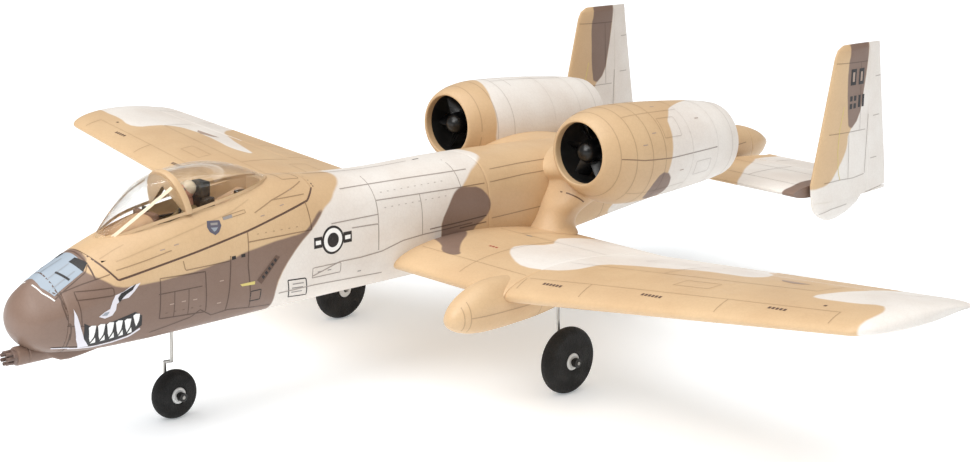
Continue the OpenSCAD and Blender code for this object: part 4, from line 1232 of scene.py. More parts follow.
figure = [
    ball("torso", (0, 95.2, 94), (4.5, 3.9, 8.2), SUIT),
          ball("shoulders", (0, 95.4, 99.8), (5.4, 3.2, 2.5), SUIT),
    limb("neck", [(0, 95.4, 101), (0, 94.6, 105.6)], [1.9, 1.8], SKIN),
    ball("head", (0, 93.8, 108.6), (3.1, 3.6, 3.8), SKIN),
          ball("helmet", (0, 94.5, 109.5), (3.6, 3.7, 3.5), HELMET),
    ball("nose", (0, 90.2, 108.3), (0.5, 0.6, 0.8), SKIN, 12, 16),
    ball("goggles", (0, 91.2, 109.6), (2.6, 0.8, 1.0), VISOR, 20, 28),
    limb("arm_left", [(4.8, 95.4, 99.4), (6.4, 92, 95), (5.6, 85.5, 94), (2.2, 81.4, 94.4)],
         [2.0, 1.7, 1.5, 1.3], SUIT),
    limb("arm_right", [(-4.8, 95.4, 99.4), (-6.4, 92, 95), (-5.6, 85.5, 94), (-2.2, 81.4, 94.4)],
         [2.0, 1.7, 1.5, 1.3],
         SUIT),
    limb("harness_left", [(2.6, 92.2, 100.4), (2.4, 91.2, 96), (1.2, 91.6, 91)], [0.6, 0.6, 0.6], SATIN),
    limb("harness_right", [(-2.6, 92.2, 100.4), (-2.4, 91.2, 96), (-1.2, 91.6, 91)], [0.6, 0.6, 0.6],
         SATIN),
    limb("collar", [(-2.1, 94.2, 102.4), (0, 93.2, 102), (2.1, 94.2, 102.4)], [0.7, 0.8, 0.7], SUIT),
    limb("mouth", [(-0.8, 90.5, 106.7), (0, 90.2, 106.55), (0.8, 90.5, 106.7)], [0.15, 0.18, 0.15], BROWN),
]
piece(joined(figure, "pilot_figure"), "hatch_group", "pilot_paint", "pilot")

# ---------------------------------------------------------------- wheels


def wheel(name, centre_at, radius, half, hub_r, bore):
    """Foam tyre with a rounded tread and eased side walls, on a dished hub with a rim and a black bush."""
    x0, s0, z0 = centre_at
    edge = half * 0.75
    tread = [(hub_r, -half + 0.5), (hub_r + 0.6, -half), (radius - edge * 1.15, -half)]
    tread += [(radius - edge + edge * math.cos(a), half * math.sin(a))
              for a in np.linspace(-PI / 2 + 0.12, PI / 2 - 0.12, 25)]
    tread += [(radius - edge * 1.15, half), (hub_r + 0.6, half), (hub_r, half - 0.5)]
    tyre = lathe(name + "_tyre_look", tread, 96, (x0, s0, z0), "X", TYRE)
    rim = [(bore + 0.6, -half - 0.2), (hub_r - 0.5, -half - 0.2), (hub_r - 0.02, -half + 0.3),
           (hub_r - 0.02, half - 0.3),
           (hub_r - 0.5, half + 0.2), (hub_r - 1.1, half + 0.2), (hub_r - 1.4, half - 0.25),
           (bore + 0.6, half - 0.25)]
    disc_of = lathe(name + "_hub_look", rim, 64, (x0, s0, z0), "X", PALE_GREY)
    bush = lathe(name + "_bush", [(bore, -half - 0.2), (bore + 0.6, -half - 0.2), (bore + 0.6, half - 0.1),
                                  (bore, half - 0.1)], 40, (x0, s0, z0), "X", SATIN)
    return tyre, joined([disc_of, bush], name + "_hub_look")


for side, word in ((1, "left"), (-1, "right")):
    tyre, hub_of = wheel(f"main_{word}", (82.5, 258, 16.5), 16.5, 4, 4.2, 0.88)
    if side < 0:
        tyre, hub_of = mirrored(tyre, "main_right_tyre"), mirrored(hub_of, "main_right_hub")
        for old in ("main_right_tyre_look", "main_right_hub_look"):
            bpy.data.objects.remove(bpy.data.objects[old])
    piece(tyre, f"main_wheel_{word}", "wheel_foam", f"main_tyre_{word}")
    piece(hub_of, f"main_wheel_{word}", "hub_plastic", f"main_hub_{word}")
tyre, hub_of = wheel("nose_wheel", (-10.8, 94, 11.5), 11.5, 4, 3.8, 0.88)
piece(tyre, "nose_wheel_body", "wheel_foam")
piece(hub_of, "nose_wheel_body", "hub_plastic", "nose_wheel")
collar_look = lathe("nose_collar", [(0.9, -6.05), (1.95, -6.05), (2.08, -5.9), (2.08, -3.65), (1.9, -3.5),
                                    (0.9, -3.5)], 48,
                    (0, 94, 11.5), "X", SATIN)
piece(collar_look, "nose_leg_body", "spring_steel")

# ---------------------------------------------------------------- CAD pieces that are kept: finishes

KEPT = {
    "wing_spar": CARBON, "fan_housing_left": SATIN, "fan_housing_right": SATIN, "motor_left": MOTOR,
    "motor_right": MOTOR, "main_leg_left": STEEL, "main_leg_right": STEEL, "wheel_collars": SATIN,
        "servos": BLACK,
    "battery": BATTERY, "control_board": BOARD, "nose_leg_bearing": WHITE, "hatch_magnets": MAGNET,
    "nose_ballast": LEAD, "aileron_horn_left": SATIN, "aileron_horn_right": SATIN,
        "aileron_arm_left": WHITE,
    "aileron_arm_right": WHITE, "aileron_rod_left": STEEL, "aileron_rod_right": STEEL,
        "elevator_horn": SATIN,
    "elevator_arm": WHITE, "elevator_rod": STEEL, "nose_leg": STEEL, "steering_arm": WHITE,
        "steering_rod": STEEL,
}
for node, material in KEPT.items():
    finished(NODES[node], material)

# ---------------------------------------------------------------- panel lines and markings on the surfaces


BOTH, FACES = ("left", "right"), ("top", "belly")


class Surface:
    """Finds points on the outside of some pieces along a straight line of sight."""

    def __init__(self, *obs):
        self.trees = []
        for ob in obs:
            bm = bmesh.new()
            bm.from_mesh(ob.data)
            self.trees.append(BVHTree.FromBMesh(bm))
            bm.free()

    def hit(self, start, direction):
        best = None
        for tree in self.trees:
            at, normal, _, distance = tree.ray_cast(Vector(row(start)), Vector(direction))
            if at is not None and (best is None or distance < best[2]):
                best = (at, normal, distance)
        if best is None:
            return None
        normal = best[1] if best[1].dot(Vector(direction)) < 0 else -best[1]
        return station(best[0]), np.array(normal)


REACH, NEAR, MIDDLE_Z = 140.0, 60, 80  # how far out sight lines start, and the height that they start from


def seen_from(surface, view, a, b):
    """Point where a sight line meets the surface. Views: left/right and near_left/near_right, which look from
    outside and from the middle (station, z), top/belly (x, station), nacelle_left/right (angle, station)."""
    sign = 1 if view in ("left", "near_left", "nacelle_left", "top") else -1
    if view in BOTH:
        return surface.hit((sign * REACH, a, b), (-sign, 0, 0))
    if view in FACES:
        return surface.hit((a, b, MIDDLE_Z + sign * REACH), (0, 0, -sign))
    if view.startswith("near"):
        return surface.hit((sign * NEAR, a, b), (sign, 0, 0))
    x, z = sign * math.cos(math.radians(a)), math.sin(math.radians(a))
    return surface.hit((sign * NACELLE_X + NEAR * x, b, NACELLE_Z + NEAR * z), (-x, 0.0, -z))


def across_scale(view):
    """Millimetres of skin in one unit of a view's first coordinate."""
    return NACELLE_ARC if view.startswith("nacelle") else 1


class Marks:
    """Collects ribbons and patches for one piece, then makes them one mesh that rides with it."""

    def __init__(self, name, surface, body, slot, scheme=None, fade=1.0):
        self.name, self.surface, self.body, self.slot = name, surface, body, slot
        self.scheme, self.fade = scheme, fade
        self.points, self.faces, self.inks, self.darks = [], [], [], []

    def line(self, view, points, width=0.5, ink=None, step=1.1, lift=0.07, dark=0.8):
        p = np.asarray(points, float)
        lengths = np.linalg.norm(np.diff(p * (across_scale(view), 1), axis=0), axis=1)
        run = np.concatenate([[0], np.cumsum(lengths)])
        t = np.linspace(0, run[-1], max(int(run[-1] / step), 1) + 1)
        path = np.stack([np.interp(t, run, p[:, 0]), np.interp(t, run, p[:, 1])], -1)
        chain = []
        for a, b in path:
            found = seen_from(self.surface, view, a, b)
            if found is None or (chain and np.linalg.norm(found[0] - chain[-1][0]) > 6 * step):
                self.ribbon(chain, width, ink, lift, dark)
                chain = []
            if found is not None:
                chain.append(found)
        self.ribbon(chain, width, ink, lift, dark)

    def ribbon(self, chain, width, ink, lift, dark):
        if len(chain) < 2:
            return
        at = np.array([c[0] for c in chain])
        normal = np.array([c[1] for c in chain])
        along = np.gradient(at, axis=0)
        side = np.cross(normal, along)
        side /= np.maximum(np.linalg.norm(side, axis=1), 1e-9)[:, None]
        base = len(self.points)
        for p, n, w in zip(at, normal, side):
            for across in (-0.5, 0.5):
                self.points.append(p + n * lift + w * across * width)
        for i in range(len(at) - 1):
            a = base + 2 * i
            self.faces.append((a, a + 1, a + 3, a + 2))
            self.inks.append(ink)
            self.darks.append(dark * self.fade)

    def patch(self, view, outline, ink, cell=1.6, lift=0.10):
        """A filled outline, cut into small cells so that it follows the surface."""
        bm = bmesh.new()
        bm.faces.new([bm.verts.new((float(a), float(b), 0)) for a, b in outline])
        low, high = np.min(outline, axis=0), np.max(outline, axis=0)
        for axis, normal in enumerate(np.eye(3)[:2]):
            for cut in np.arange(low[axis] + cell, high[axis], cell):
                bmesh.ops.bisect_plane(bm, geom=bm.verts[:] + bm.edges[:] + bm.faces[:],
                                       plane_co=cut * normal,
                                       plane_no=normal)
        bmesh.ops.triangulate(bm, faces=bm.faces)
        bm.verts.ensure_lookup_table()
        place = {}
        for v in bm.verts:
            found = seen_from(self.surface, view, v.co.x, v.co.y)
            if found is not None:
                place[v.index] = len(self.points)
                self.points.append(found[0] + found[1] * lift)
        for f in bm.faces:
            ids = [v.index for v in f.verts]
            if all(i in place for i in ids):
                a, b, c = (self.points[place[i]] for i in ids)
                if max(np.linalg.norm(a - b), np.linalg.norm(b - c)) < 7 * cell:
                    self.faces.append(tuple(place[i] for i in ids))
                    self.inks.append(ink)
                    self.darks.append(0.0)
        bm.free()

    def make(self):
        inks = list(dict.fromkeys(self.inks))
        ob = new_object(self.name, self.points, self.faces)
        for ink in inks:
            ob.data.materials.append(FOAM if ink is None else INK[ink])
        ob.data.polygons.foreach_set("material_index", [inks.index(i) for i in self.inks])
        if self.scheme:
            store_depths(ob, self.scheme)
        dark = np.zeros(len(self.points), np.float32)
        for face, darkness in zip(self.faces, self.darks):
            dark[list(face)] = darkness
        store(ob, "dark", dark)
        ob.data.update()
        return piece(ob, self.body, self.slot)


def box(a0, b0, a1, b1):
    return [(a0, b0), (a1, b0), (a1, b1), (a0, b1)]


def frame_of(a0, b0, a1, b1):
    return box(a0, b0, a1, b1) + [(a0, b0)]


def side_box(side, x0, s0, x1, s1):
    """A box of a plan view on the left (side 1) or on the right (side -1)."""
    return box(min(side * x0, side * x1), s0, max(side * x0, side * x1), s1)


def flipped(side, points):
    """Points of a plan view on the left (side 1) or on the right (side -1)."""
    return [(side * x, s) for x, s in points]


# Nose, front fuselage and hatch. The hatch has its own marks, which lift off with it.
canopy_marks = Marks("canopy_frame_lines", Surface(glass), "hatch_group", "sand_foam", plain())
for view in BOTH:
    canopy_marks.line(view, [(s, reading(CANOPY, s)[2] + 0.8) for s in np.linspace(46.4, 135.6, 60)], 1.5,
                      lift=0.1,
                      dark=0.0)
    # windscreen posts: a real frame, drawn in cream to paint the highlight that runs along them
    canopy_marks.line(view, [(50.5, 95.2), (56, 99.6), (62, 104), (70, 109.2), (78.6, 113.6)], 1.4, "highlight_cream",
                      lift=0.12)
canopy_marks.make()
nose_marks = Marks("nose_marks", Surface(nose_cone, front), *AIRFRAME, fuselage_scheme, fade=0.75)
hatch_marks = Marks("hatch_marks", Surface(hatch), "hatch_group", "sand_foam", fuselage_scheme, fade=0.6)
for view in BOTH:
    m = nose_marks
    # seam of the radome and the plate lines aft of it
    for width, *points in (
            (0.6, (16.5, 78.5), (19.3, 76.5), (18.6, 72.9), (19.1, 68.9), (21.2, 64), (21.6, 58)),
            (0.5, (19.6, 77.6), (29, 80.3), (41.1, 83)),
            (0.45, *frame_of(24.8, 74.6, 41, 77.8)),
            (0.45, (24.8, 77.1), (26, 63.7)),
            (0.45, (19.5, 64.7), (33.8, 62.3)),
            (0.55, (60, 54.3), (79.9, 58), (84.2, 60.7), (91, 56.7), (99.9, 57.6), (112.1, 56.1),
             (125.1, 54.9)),
            (0.55, (63.4, 78.2), (86.5, 77.6), (87.3, 59.1), (63.1, 60.3), (63.4, 78.2)),
            (0.45, (62.5, 71.4), (84.8, 71.4)),
            (0.4, (70.5, 71.4), (70.4, 60.1)),
            (0.4, (77.8, 71.4), (77.8, 60)),
            (0.6, (100.3, 82.3), (99.5, 68.7), (98.4, 57.6)),
            (0.6, (111.1, 90.8), (109.6, 76.6), (112.1, 56.1)),
            (0.45, (75.8, 83.8), (76.3, 79.7), (99.6, 80.1)),
            (0.5, (110.8, 86.7), (146.8, 86.9)),
            (0.5, (146.8, 86.9), (146.5, 99)),
            (0.45, *frame_of(147, 64.2, 164, 68.9)),
            (0.55, (146.9, 65), (163.1, 69.3), (176.2, 69.2), (189.4, 70), (202.9, 73), (216.7, 73.9),
             (228.8, 74.1), (250, 74.6)),
            (0.55, (128, 60.2), (149, 60.4), (172, 59.6), (191.5, 58.9)),
            (0.5, (158.6, 87.8), (187.8, 88)),
            (0.5, (187.7, 94.2), (239.7, 93.1), (260, 92.8)),
            (0.55, (170.8, 84.1), (187.2, 83.6), (187.4, 70.9)),
            (0.5, (187.7, 94.2), (187.3, 83.6)),
            (0.6, (169.8, 101.3), (210, 100.8), (251.5, 100.2))):
        m.line(view, points, width)
    m.line(view, [(220.8, 75.8), (241, 76.2), (260, 76.8)], 0.6, dark=1)
    m.line(view, [(241.2, 73.1), (260, 73.5)], 0.6, dark=1)
    for width, *points in (
            (0.4, (215.5, 93.6), (215.8, 74.2)),
            (0.4, (243, 104.5), (243.4, 93)),
            (0.4, (187.6, 104), (187.7, 94.2))):
        m.line(view, points, width)
    # rows of rivet-like dashes and vents
    for a, b, z in ((66, 84, 62.4), (116, 142, 89.4), (192, 236, 90.4), (192, 236, 97.2)):
        for s in np.arange(a, b, 4.4):
            m.line(view, [(s, z), (s + 1.1, z)], 0.4, dark=0.55)
    # dark windows, small boxes and the first-aid arrow
    m.patch(view, [(100.9, 80.4), (103.1, 80.5), (103.1, 82), (100.9, 81.9)], "black")
    m.patch(view, [(106.1, 80.6), (108.3, 80.7), (108.3, 82.1), (106.1, 82)], "black")
    m.patch(view, [(114.6, 68.9), (117.1, 66.6), (127.6, 77.5), (125.3, 78.8)], "brown")
    for t in (0.14, 0.3, 0.46, 0.62, 0.78):
        s, z = 115.9 + 10.6 * t, 67.8 + 10.3 * t
        m.patch(view, [(s - 0.3, z + 0.7), (s + 0.8, z - 0.4), (s + 1.7, z + 0.5), (s + 0.6, z + 1.6)],
                "black", lift=0.15)
    m.patch(view, [(105.2, 68.6), (113.5, 68.7), (113.5, 67.2), (106.4, 67.5)], "yellow")
    m.line(view, frame_of(111.5, 59.5, 117.2, 64.2), 0.5, "black")
    m.line(view, [(132.5, 65.6), (143.1, 64.9), (145.8, 56), (134.7, 57), (132.5, 65.6)], 0.6, "black")
    for z in (63.2, 61.2, 59.2):
        m.line(view, [(135.6, z), (142.2, z - 0.4)], 0.55, "grey")
    for s, z in ((68, 66), (74, 66.2), (80, 66), (93, 62), (94, 72), (150, 66.5), (156, 66.4), (175, 62.5)):
        m.line(view, [(s, z), (s + 2.2, z)], 0.5, "taupe" if s < 126 else "grey")
    # plain roundel with bars
    for radius, steps, ink, lift in ((6.6, 48, "black", 0.09), (5.5, 40, "white", 0.14),
                                     (3.4, 32, "black", 0.19)):
        m.patch(view, [(158.9 + radius * math.cos(a), 80.3 + radius * math.sin(a))
                       for a in around_circle(steps)],
                ink, 1.5, lift)
    for a, b in ((147.6, 152.5), (165.3, 170.4)):
        m.patch(view, box(a, 77.8, b, 82.9), "black", 1.6, 0.09)
        m.patch(view, box(a + 0.9, 79.4, b - 0.9, 81.3), "white", 1.6, 0.14)
    # saw-tooth band, its gum line and the abstract flash above it
    upper = [(26.8, 64.8), (31.6, 62), (41.6, 63.8), (50.8, 65.8), (54.2, 63.6), (54.6, 59)]
    lower = [(50.4, 56), (44, 54.2), (33.6, 53), (29.2, 53.4), (27.4, 58)]
    m.patch(view, upper + lower, "black", 1.4, 0.09)
    for k in range(6):
        s, z = 29 + 4.15 * k, 53.8 + 0.45 * k + (1.4 if k == 5 else 0)
        top = z + 9.2 - 0.4 * k
        m.patch(view, [(s, top - 0.4), (s + 1.2, top + 0.3), (s + 3.3, top), (s + 3, z + 4),
                       (s + 2, z + 1.6),
                       (s + 1, z + 3.6)], "white", 1.2, 0.16)
        if k < 5:
            m.patch(view, [(s + 2.4, z + 0.7), (s + 4.6, z + 1), (s + 3.7, z + 3.6)], "white", 1.2, 0.16)
    m.line(view, [(22.6, 53.3), (27.4, 52.6), (33.6, 52.4), (42, 53.2), (49.4, 54.8), (54, 57.6)], 1.1,
           "pale", lift=0.13)
    m.line(view, [(15.4, 54.4), (20.6, 53.9), (23, 53.5)], 0.8, "pale", lift=0.13)
    m.line(view, [(15.2, 54.9), (20.6, 54.4), (26.6, 53.6)], 0.4, "black", lift=0.1)
    m.patch(view, [(22.4, 71.5), (23.8, 68.2), (25.6, 62.6), (27.8, 57.4), (31.3, 53.2), (26.8, 53.1),
                   (24.2, 57.8),
                   (22.4, 65.4)], "pale", 1.3, 0.19)
    m.patch(view, [(33.4, 66.6), (36.2, 65.4), (39.6, 66.2), (41.4, 68.4), (41.8, 70.8), (44.4, 72.4),
                   (47.6, 72.6),
                   (50.4, 74.8), (53.8, 78), (49, 77.2), (45.4, 75.6), (41.4, 74.6), (39.8, 72.2),
                   (38.6, 69.2),
                   (36, 68.2)], "pale", 1.3, 0.1)
    m.patch(view, [(43, 71.2), (44.8, 73), (46.6, 74.2), (49.6, 75.6), (51.6, 77.9), (49.6, 77),
                   (46.4, 75.8), (44, 75),
                   (42.4, 73.2)], "black", 1.3, 0.16)
    m.patch(view, [(34.6, 66.8), (37.2, 66.6), (38.4, 68), (36.4, 68)], "slate", 1.3, 0.16)
seam_line = inset(HATCH, -0.2)
for view in BOTH:
    nose_marks.line(view, seam_line[[7, 0, 1, 2, 3, 4]], 0.75, "brown", lift=0.02)
    nose_marks.line(view, [(155.6, 104), (156.6, 112)], 0.7, "brown", lift=0.02)
nose_marks.line("top", [(-16, 34.7), (0, 34.7), (16, 34.7)], 0.75, "brown", lift=0.02)
for side in (1, -1):
    m = nose_marks
    m.line("top", flipped(side, [(2.4, 12.8), (8.3, 14), (13.2, 16.7)]), 0.6, "white")
    m.line("top", flipped(side, [(9.8, 35.1), (12.3, 32.4), (12.9, 17)]), 0.5)
m = nose_marks
m.patch("top", [(-12, 17.3), (-6.2, 14.6), (6.2, 14.6), (12, 17.3), (11.6, 31.8), (9.6, 33.4), (-9.6, 33.4),
                (-11.6, 31.8)],
        "blue_grey", 2.0, 0.08)
for side in (1, -1):
    m.patch("top", flipped(side, ((4.3, 29.5), (9.2, 30.8), (11.6, 31.6), (9.8, 35.1), (4.1, 32.7))),
            "black",
            1.6, 0.13)
for x in (-9.6, -5.2, 0, 5.2, 9.6):
    m.line("top", [(x, 18.2), (x * 0.98, 29)], 0.5, "slate", lift=0.14)
m.line("top", [(4.8, 22.6), (10.9, 25.4)], 1.1, "black", lift=0.15)
m.line("top", [(-10.9, 25.4), (-4.8, 22.6)], 1.1, "black", lift=0.15)
m.line("top", [(-20, 20.3), (-13, 18.8), (0, 18.2), (13, 18.8), (20, 20.3)], 0.6)
m.line("belly", [(-18, 21), (0, 22.4), (18, 21)], 0.6)
for x in (-11, 11):
    m.line("belly", [(x, 60), (x, 196)], 0.5)
for s in (60, 84, 124, 166, 196):
    m.line("belly", [(-11, s), (11, s)], 0.5)
m.line("belly", frame_of(-18, 84, -7, 124), 0.5)
m.line("top", [(-0.01, 160), (0, 226)], 0.4)
m.line("top", [(0, 230.5), (0, 234.5)], 0.9, "black")
nose_marks.make()

m = hatch_marks
for view in BOTH:
    m.line(view, [(117.6, 98.2), (129, 102), (150.7, 106.6)], 0.5)
    m.line(view, [(129, 102), (147.8, 102.1)], 0.5)
    m.line(view, [(45.6, 87.4), (60.1, 90.6), (82, 95.4), (105.7, 99.9), (117.4, 103.6)], 0.5, dark=0.22)
    m.line(view, [(44.2, 84.2), (59.5, 86.6), (71.3, 88.8)], 0.45)
    m.line(view, [(100.6, 98.6), (113, 100.1), (113, 98.8), (100.6, 97.4), (100.6, 98.6)], 0.35)
    m.line(view, [(40, 88.6), (47, 91.4), (52, 93)], 0.4, dark=0.3)
    m.patch(view, [(92.3, 98), (98.5, 97.6), (98.6, 95.4), (96.6, 93), (94.3, 92), (91.9, 93.6),
                   (91.3, 95.6)],
            "dark_slate", 1.5, 0.09)
    m.patch(view, [(93.6, 97), (97.2, 96.8), (96.8, 95.9), (93.4, 96.1)], "grey", 1.4, 0.14)
    m.patch(view, [(93, 95.2), (96.6, 94.9), (95.4, 93.9), (94.2, 93.4)], "slate", 1.4, 0.14)
    m.patch(view, [(100.6, 98.4), (105.6, 99), (105.6, 97.8), (100.6, 97.3)], "grey", 1.4, 0.1)
    for s, z in ((66, 89.4), (73, 90.6), (120, 96.4), (132, 99.3), (140, 104.4)):
        m.line(view, [(s, z), (s + 2.4, z + 0.3)], 0.45, "taupe")
m.line("top", [(-7, 142), (7, 142), (7, 152), (-7, 152), (-7, 142)], 0.45)
hatch_marks.make()

rear_marks = Marks("rear_marks", Surface(rear, cone), *AIRFRAME, fuselage_scheme, fade=0.6)
m = rear_marks
for view in BOTH:
    for width, *points in (
            (0.5, (264, 92.8), (289.9, 93.3), (330, 92.6)),
            (0.5, (266.9, 98.4), (289.1, 98.5), (330, 97.6), (400, 95.6), (470, 92)),
            (0.5, (264, 74.8), (330, 76), (420, 78), (440, 82), (490, 84)),
            (0.45, (352, 101), (353, 60)),
            (0.45, (398, 98.5), (399, 62)),
            (0.45, (441, 96), (442, 86)),
            (0.45, (300, 76), (301, 55)),
            (0.45, *frame_of(366, 84, 388, 92))):
        m.line(view, points, width)
    for s in np.arange(306, 394, 4.6):
        m.line(view, [(s, 79), (s + 1.1, 79)], 0.4, dark=0.55)
    for s, z in ((318, 86), (372, 86), (410, 84), (452, 90)):
        m.line(view, [(s, z), (s + 3, z)], 0.5, "grey")
m.line("top", [(-10, 420), (10, 420)], 0.45)
m.line("top", [(-12, 364), (12, 364)], 0.45)
m.line("belly", [(0, 320), (0, 420)], 0.45)
rear_marks.make()

# Wings: hatches, spar and rib lines, small stencil dashes as plain bars
for side, wing, aileron, body_of, scheme in ((1, wing_left, aileron_left, "aileron_left_body",
                                              left_wing_scheme),
                                             (-1, wing_right, aileron_right, "aileron_right_body",
                                              right_wing_scheme)):
    word = "left" if side > 0 else "right"
    m = Marks(f"wing_{word}_marks", Surface(wing), *AIRFRAME, scheme, fade=0.45)

    def both(points, **more):
        for view in FACES:
            m.line(view, flipped(side, points), **more)

    for near, far in (((97, 211.5), (98.6, 203)), ((132.4, 215.6), (134.1, 204.6)),
                      ((202.9, 221), (203.8, 210)),
                      ((255.9, 224.6), (256.8, 214.6))):
        both([near, far], width=0.5)
    both([(98, 212.2), (132, 215.6), (203, 221), (256, 224.4)], width=0.45, dark=0.5)
    both([(98, 240), (150, 243.6), (228, 249)], width=0.45, dark=0.5)
    both([(150, 243.6), (150.6, 277)], width=0.45, dark=0.5)
    both([(228, 249), (229, 268)], width=0.45, dark=0.5)
    both([(120, 268), (140, 269.4), (141, 282), (121, 281), (120, 268)], width=0.4, dark=0.5)
    both([(168, 228), (186, 229.2), (186.8, 238), (168.8, 237), (168, 228)], width=0.4, dark=0.5)
    for a, b, s in ((109, 119, 209.4), (162.3, 172.4, 213.6), (224.7, 234.2, 219)):
        for x in np.arange(a, b, 1.9):
            m.patch("top", side_box(side, x, s - 0.9, x + 1.25, s + 0.9),
                    "brown", 3.0)
    m.patch("top", flipped(side, ((198, 265.6), (201, 262), (207.9, 259.5), (212, 260.4), (214.9, 263.1),
                                                (208, 264.2))), "taupe", 2.4)
    m.patch("top", flipped(side, ((245, 228), (246.4, 228), (246.4, 229.4), (245, 229.4))), "brown", 3)
    m.make()
    m = Marks(f"aileron_{word}_marks", Surface(aileron), body_of, "white_foam", scheme, fade=0.45)
    for x in (182, 236):
        both([(x, 283), (x + 0.4, 305)], width=0.4, dark=0.5)
    m.make()
m = Marks("wing_centre_marks", Surface(centre), *AIRFRAME, wing_scheme, fade=0.55)
for side in (1, -1):
    for view in FACES:
        m.line(view, flipped(side, [(26, 268), (94, 270)]), 0.45, dark=0.5)
        m.line(view, flipped(side, [(62, 203), (62, 268.8)]), 0.45, dark=0.5)
        m.line(view, flipped(side, [(40, 269), (41, 308)]), 0.45, dark=0.5)
        m.line(view, flipped(side, [(26, 214), (94, 214)]), 0.45, dark=0.5)
    for x in (51, 53, 55):
        m.patch("top", side_box(side, x, 233.4, x + 1.3, 234.8), "red", 3)
    m.patch("top", side_box(side, 43.8, 266.9, 47.7, 268.1), "grey", 3)
m.make()
m = Marks("pod_marks", Surface(pod_left, pod_right), *AIRFRAME, plain(), fade=0.4)
for side, out, near in ((1, "left", "right"), (-1, "right", "left")):
    for s in (176.5, 179.5, 224):
        r = reading(POD, s)
        m.line(out, [(s, r[2] + 1.4), (s, r[3] - 1.2)], 0.5)
    m.line(out, [(179.5, 54.8), (224, 55.4)], 0.5)
m.make()

# Nacelles: rings, a long seam and access panels
for side, word, nacelle, scheme in ((1, "left", nacelle_left, left_nacelle_scheme),
                                    (-1, "right", nacelle_right, right_nacelle_scheme)):
    m = Marks(f"nacelle_{word}_marks", Surface(nacelle), *AIRFRAME, scheme, fade=0.8)
    view = f"nacelle_{word}"
    for s, a0, a1, d in ((307, -178, 178, 0.3), (316.2, -60, 230, 0.32), (327.4, -70, 210, 0.32),
                         (337.6, -60, 120, 0.32),
                         (361, -178, 178, 0.12), (384, -178, 178, 0.12), (398.5, -178, 178, 0.25)):
        m.line(view, [(a, s + 0.9 * math.cos(math.radians(a))) for a in np.arange(a0, a1, 4)], 0.6, dark=d)
    m.line(view, [(8, 308), (3, 322), (0, 343), (1, 384)], 0.55)
    for width, *points in (
            (0.5, (60, 317), (62, 361)),
            (0.45, (100, 328), (100, 384)),
            (0.5, (-42, 317), (-40, 361)),
            (0.45, (24, 340), (50, 340), (50, 354), (24, 354), (24, 340)),
            (0.45, (-30, 366), (-12, 366), (-12, 379), (-30, 379), (-30, 366))):
        m.line(view, points, width, dark=0.3)
    for a, s in ((20, 322), (32, 331), (72, 345), (-18, 352), (44, 371)):
        m.line(view, [(a, s), (a, s + 3.2)], 0.5, "taupe")
    m.make()

m = Marks("pylon_marks", Surface(saddle), *AIRFRAME, plain())
for side in (1, -1):
    # painted shade: a black notch in the crease where the nacelle meets the spine
    m.line("top", flipped(side, [(26, 309), (30, 310)]), 0.9, dark=1.0)
    m.line("top", flipped(side, [(24.5, 340), (31, 342)]), 0.5, dark=0.4)
for view in BOTH:
    # painted shade: a dark arch at the front of each column, in the recess where shade falls
    m.line(view, [(300, 79), (302, 83), (306, 84), (312, 79.4)], 0.7, dark=0.9)
m.make()

# Fins, rudders and tailplane
for side, fin, rudder, word in ((1, fin_left, rudder_left, "left"), (-1, fin_right, rudder_right, "right")):
    outside = "left" if side > 0 else "right"
    m = Marks(f"fin_{word}_marks", Surface(fin), *AIRFRAME, fin_scheme, fade=0.6)
    for view in (outside, "near_" + outside):
        m.line(view, [(454, 144.1), (482.9, 143.4)], 0.5)
        m.line(view, [(461.8, 120.2), (458.9, 107.9), (458.2, 96), (460, 84), (461.9, 79.9)], 0.5, "yellow")
        for width, *points in (
                (0.5, (448, 79.6), (461.9, 79.9), (475.1, 79.3), (486.7, 80.1)),
                (0.5, (446, 62.3), (455.9, 64.4), (472, 64.9)),
                (0.45, (470, 79.8), (468, 104)),
                (0.45, (450, 106), (485, 105.4)),
                (0.4, (476, 143.4), (479, 106))):
            m.line(view, points, width)
        m.line(view, [(487.2, 80.4), (487.2, 158)], 0.5, dark=1.0)
    # plain bars in place of the tail's letters and number
    for a, z0, z1 in ((466.4, 131.4, 140.2), (474.4, 131.2, 140)):
        m.patch(outside, box(a, z0, a + 5.2, z1), "black", 1.6, 0.09)
        m.patch(outside, box(a + 1.6, z0 + 1.8, a + 3.6, z1 - 1.8), "taupe", 1.6, 0.14)
    for a in (466.8, 470.6):
        for z in (122.6, 118.4):
            m.patch(outside, box(a, z, a + 2.4, z + 2.8), "black", 1.6, 0.09)
    for a in (475.2, 479.2):
        m.patch(outside, box(a, 118.6, a + 2.2, 125.4), "black", 1.6, 0.09)
    m.make()
    m = Marks(f"rudder_{word}_marks", Surface(rudder), f"rudder_{word}_body", "white_foam", fin_scheme)
    for view in (outside, "near_" + outside):
        for z in (88, 112, 134):
            m.line(view, [(493, z), (500, z)], 0.45, dark=0.5)
    m.make()
m = Marks("tail_marks", Surface(tailplane), *AIRFRAME, tail_scheme)
for side in (1, -1):
    for view in FACES:
        m.line(view, flipped(side, [(18, 440), (84, 440)]), 0.45, dark=0.5)
        m.line(view, flipped(side, [(50, 440), (50.4, 480)]), 0.45, dark=0.5)
        m.line(view, flipped(side, [(18, 468), (84, 468)]), 0.4, dark=0.5)
m.make()
m = Marks("elevator_marks", Surface(*halves[:1]), "elevator_body", "white_foam", tail_scheme)
for side in (1, -1):
    for x in (34, 62):
        m.line("top", [(side * x, 488), (side * x, 505)], 0.4, dark=0.5)
m.make()

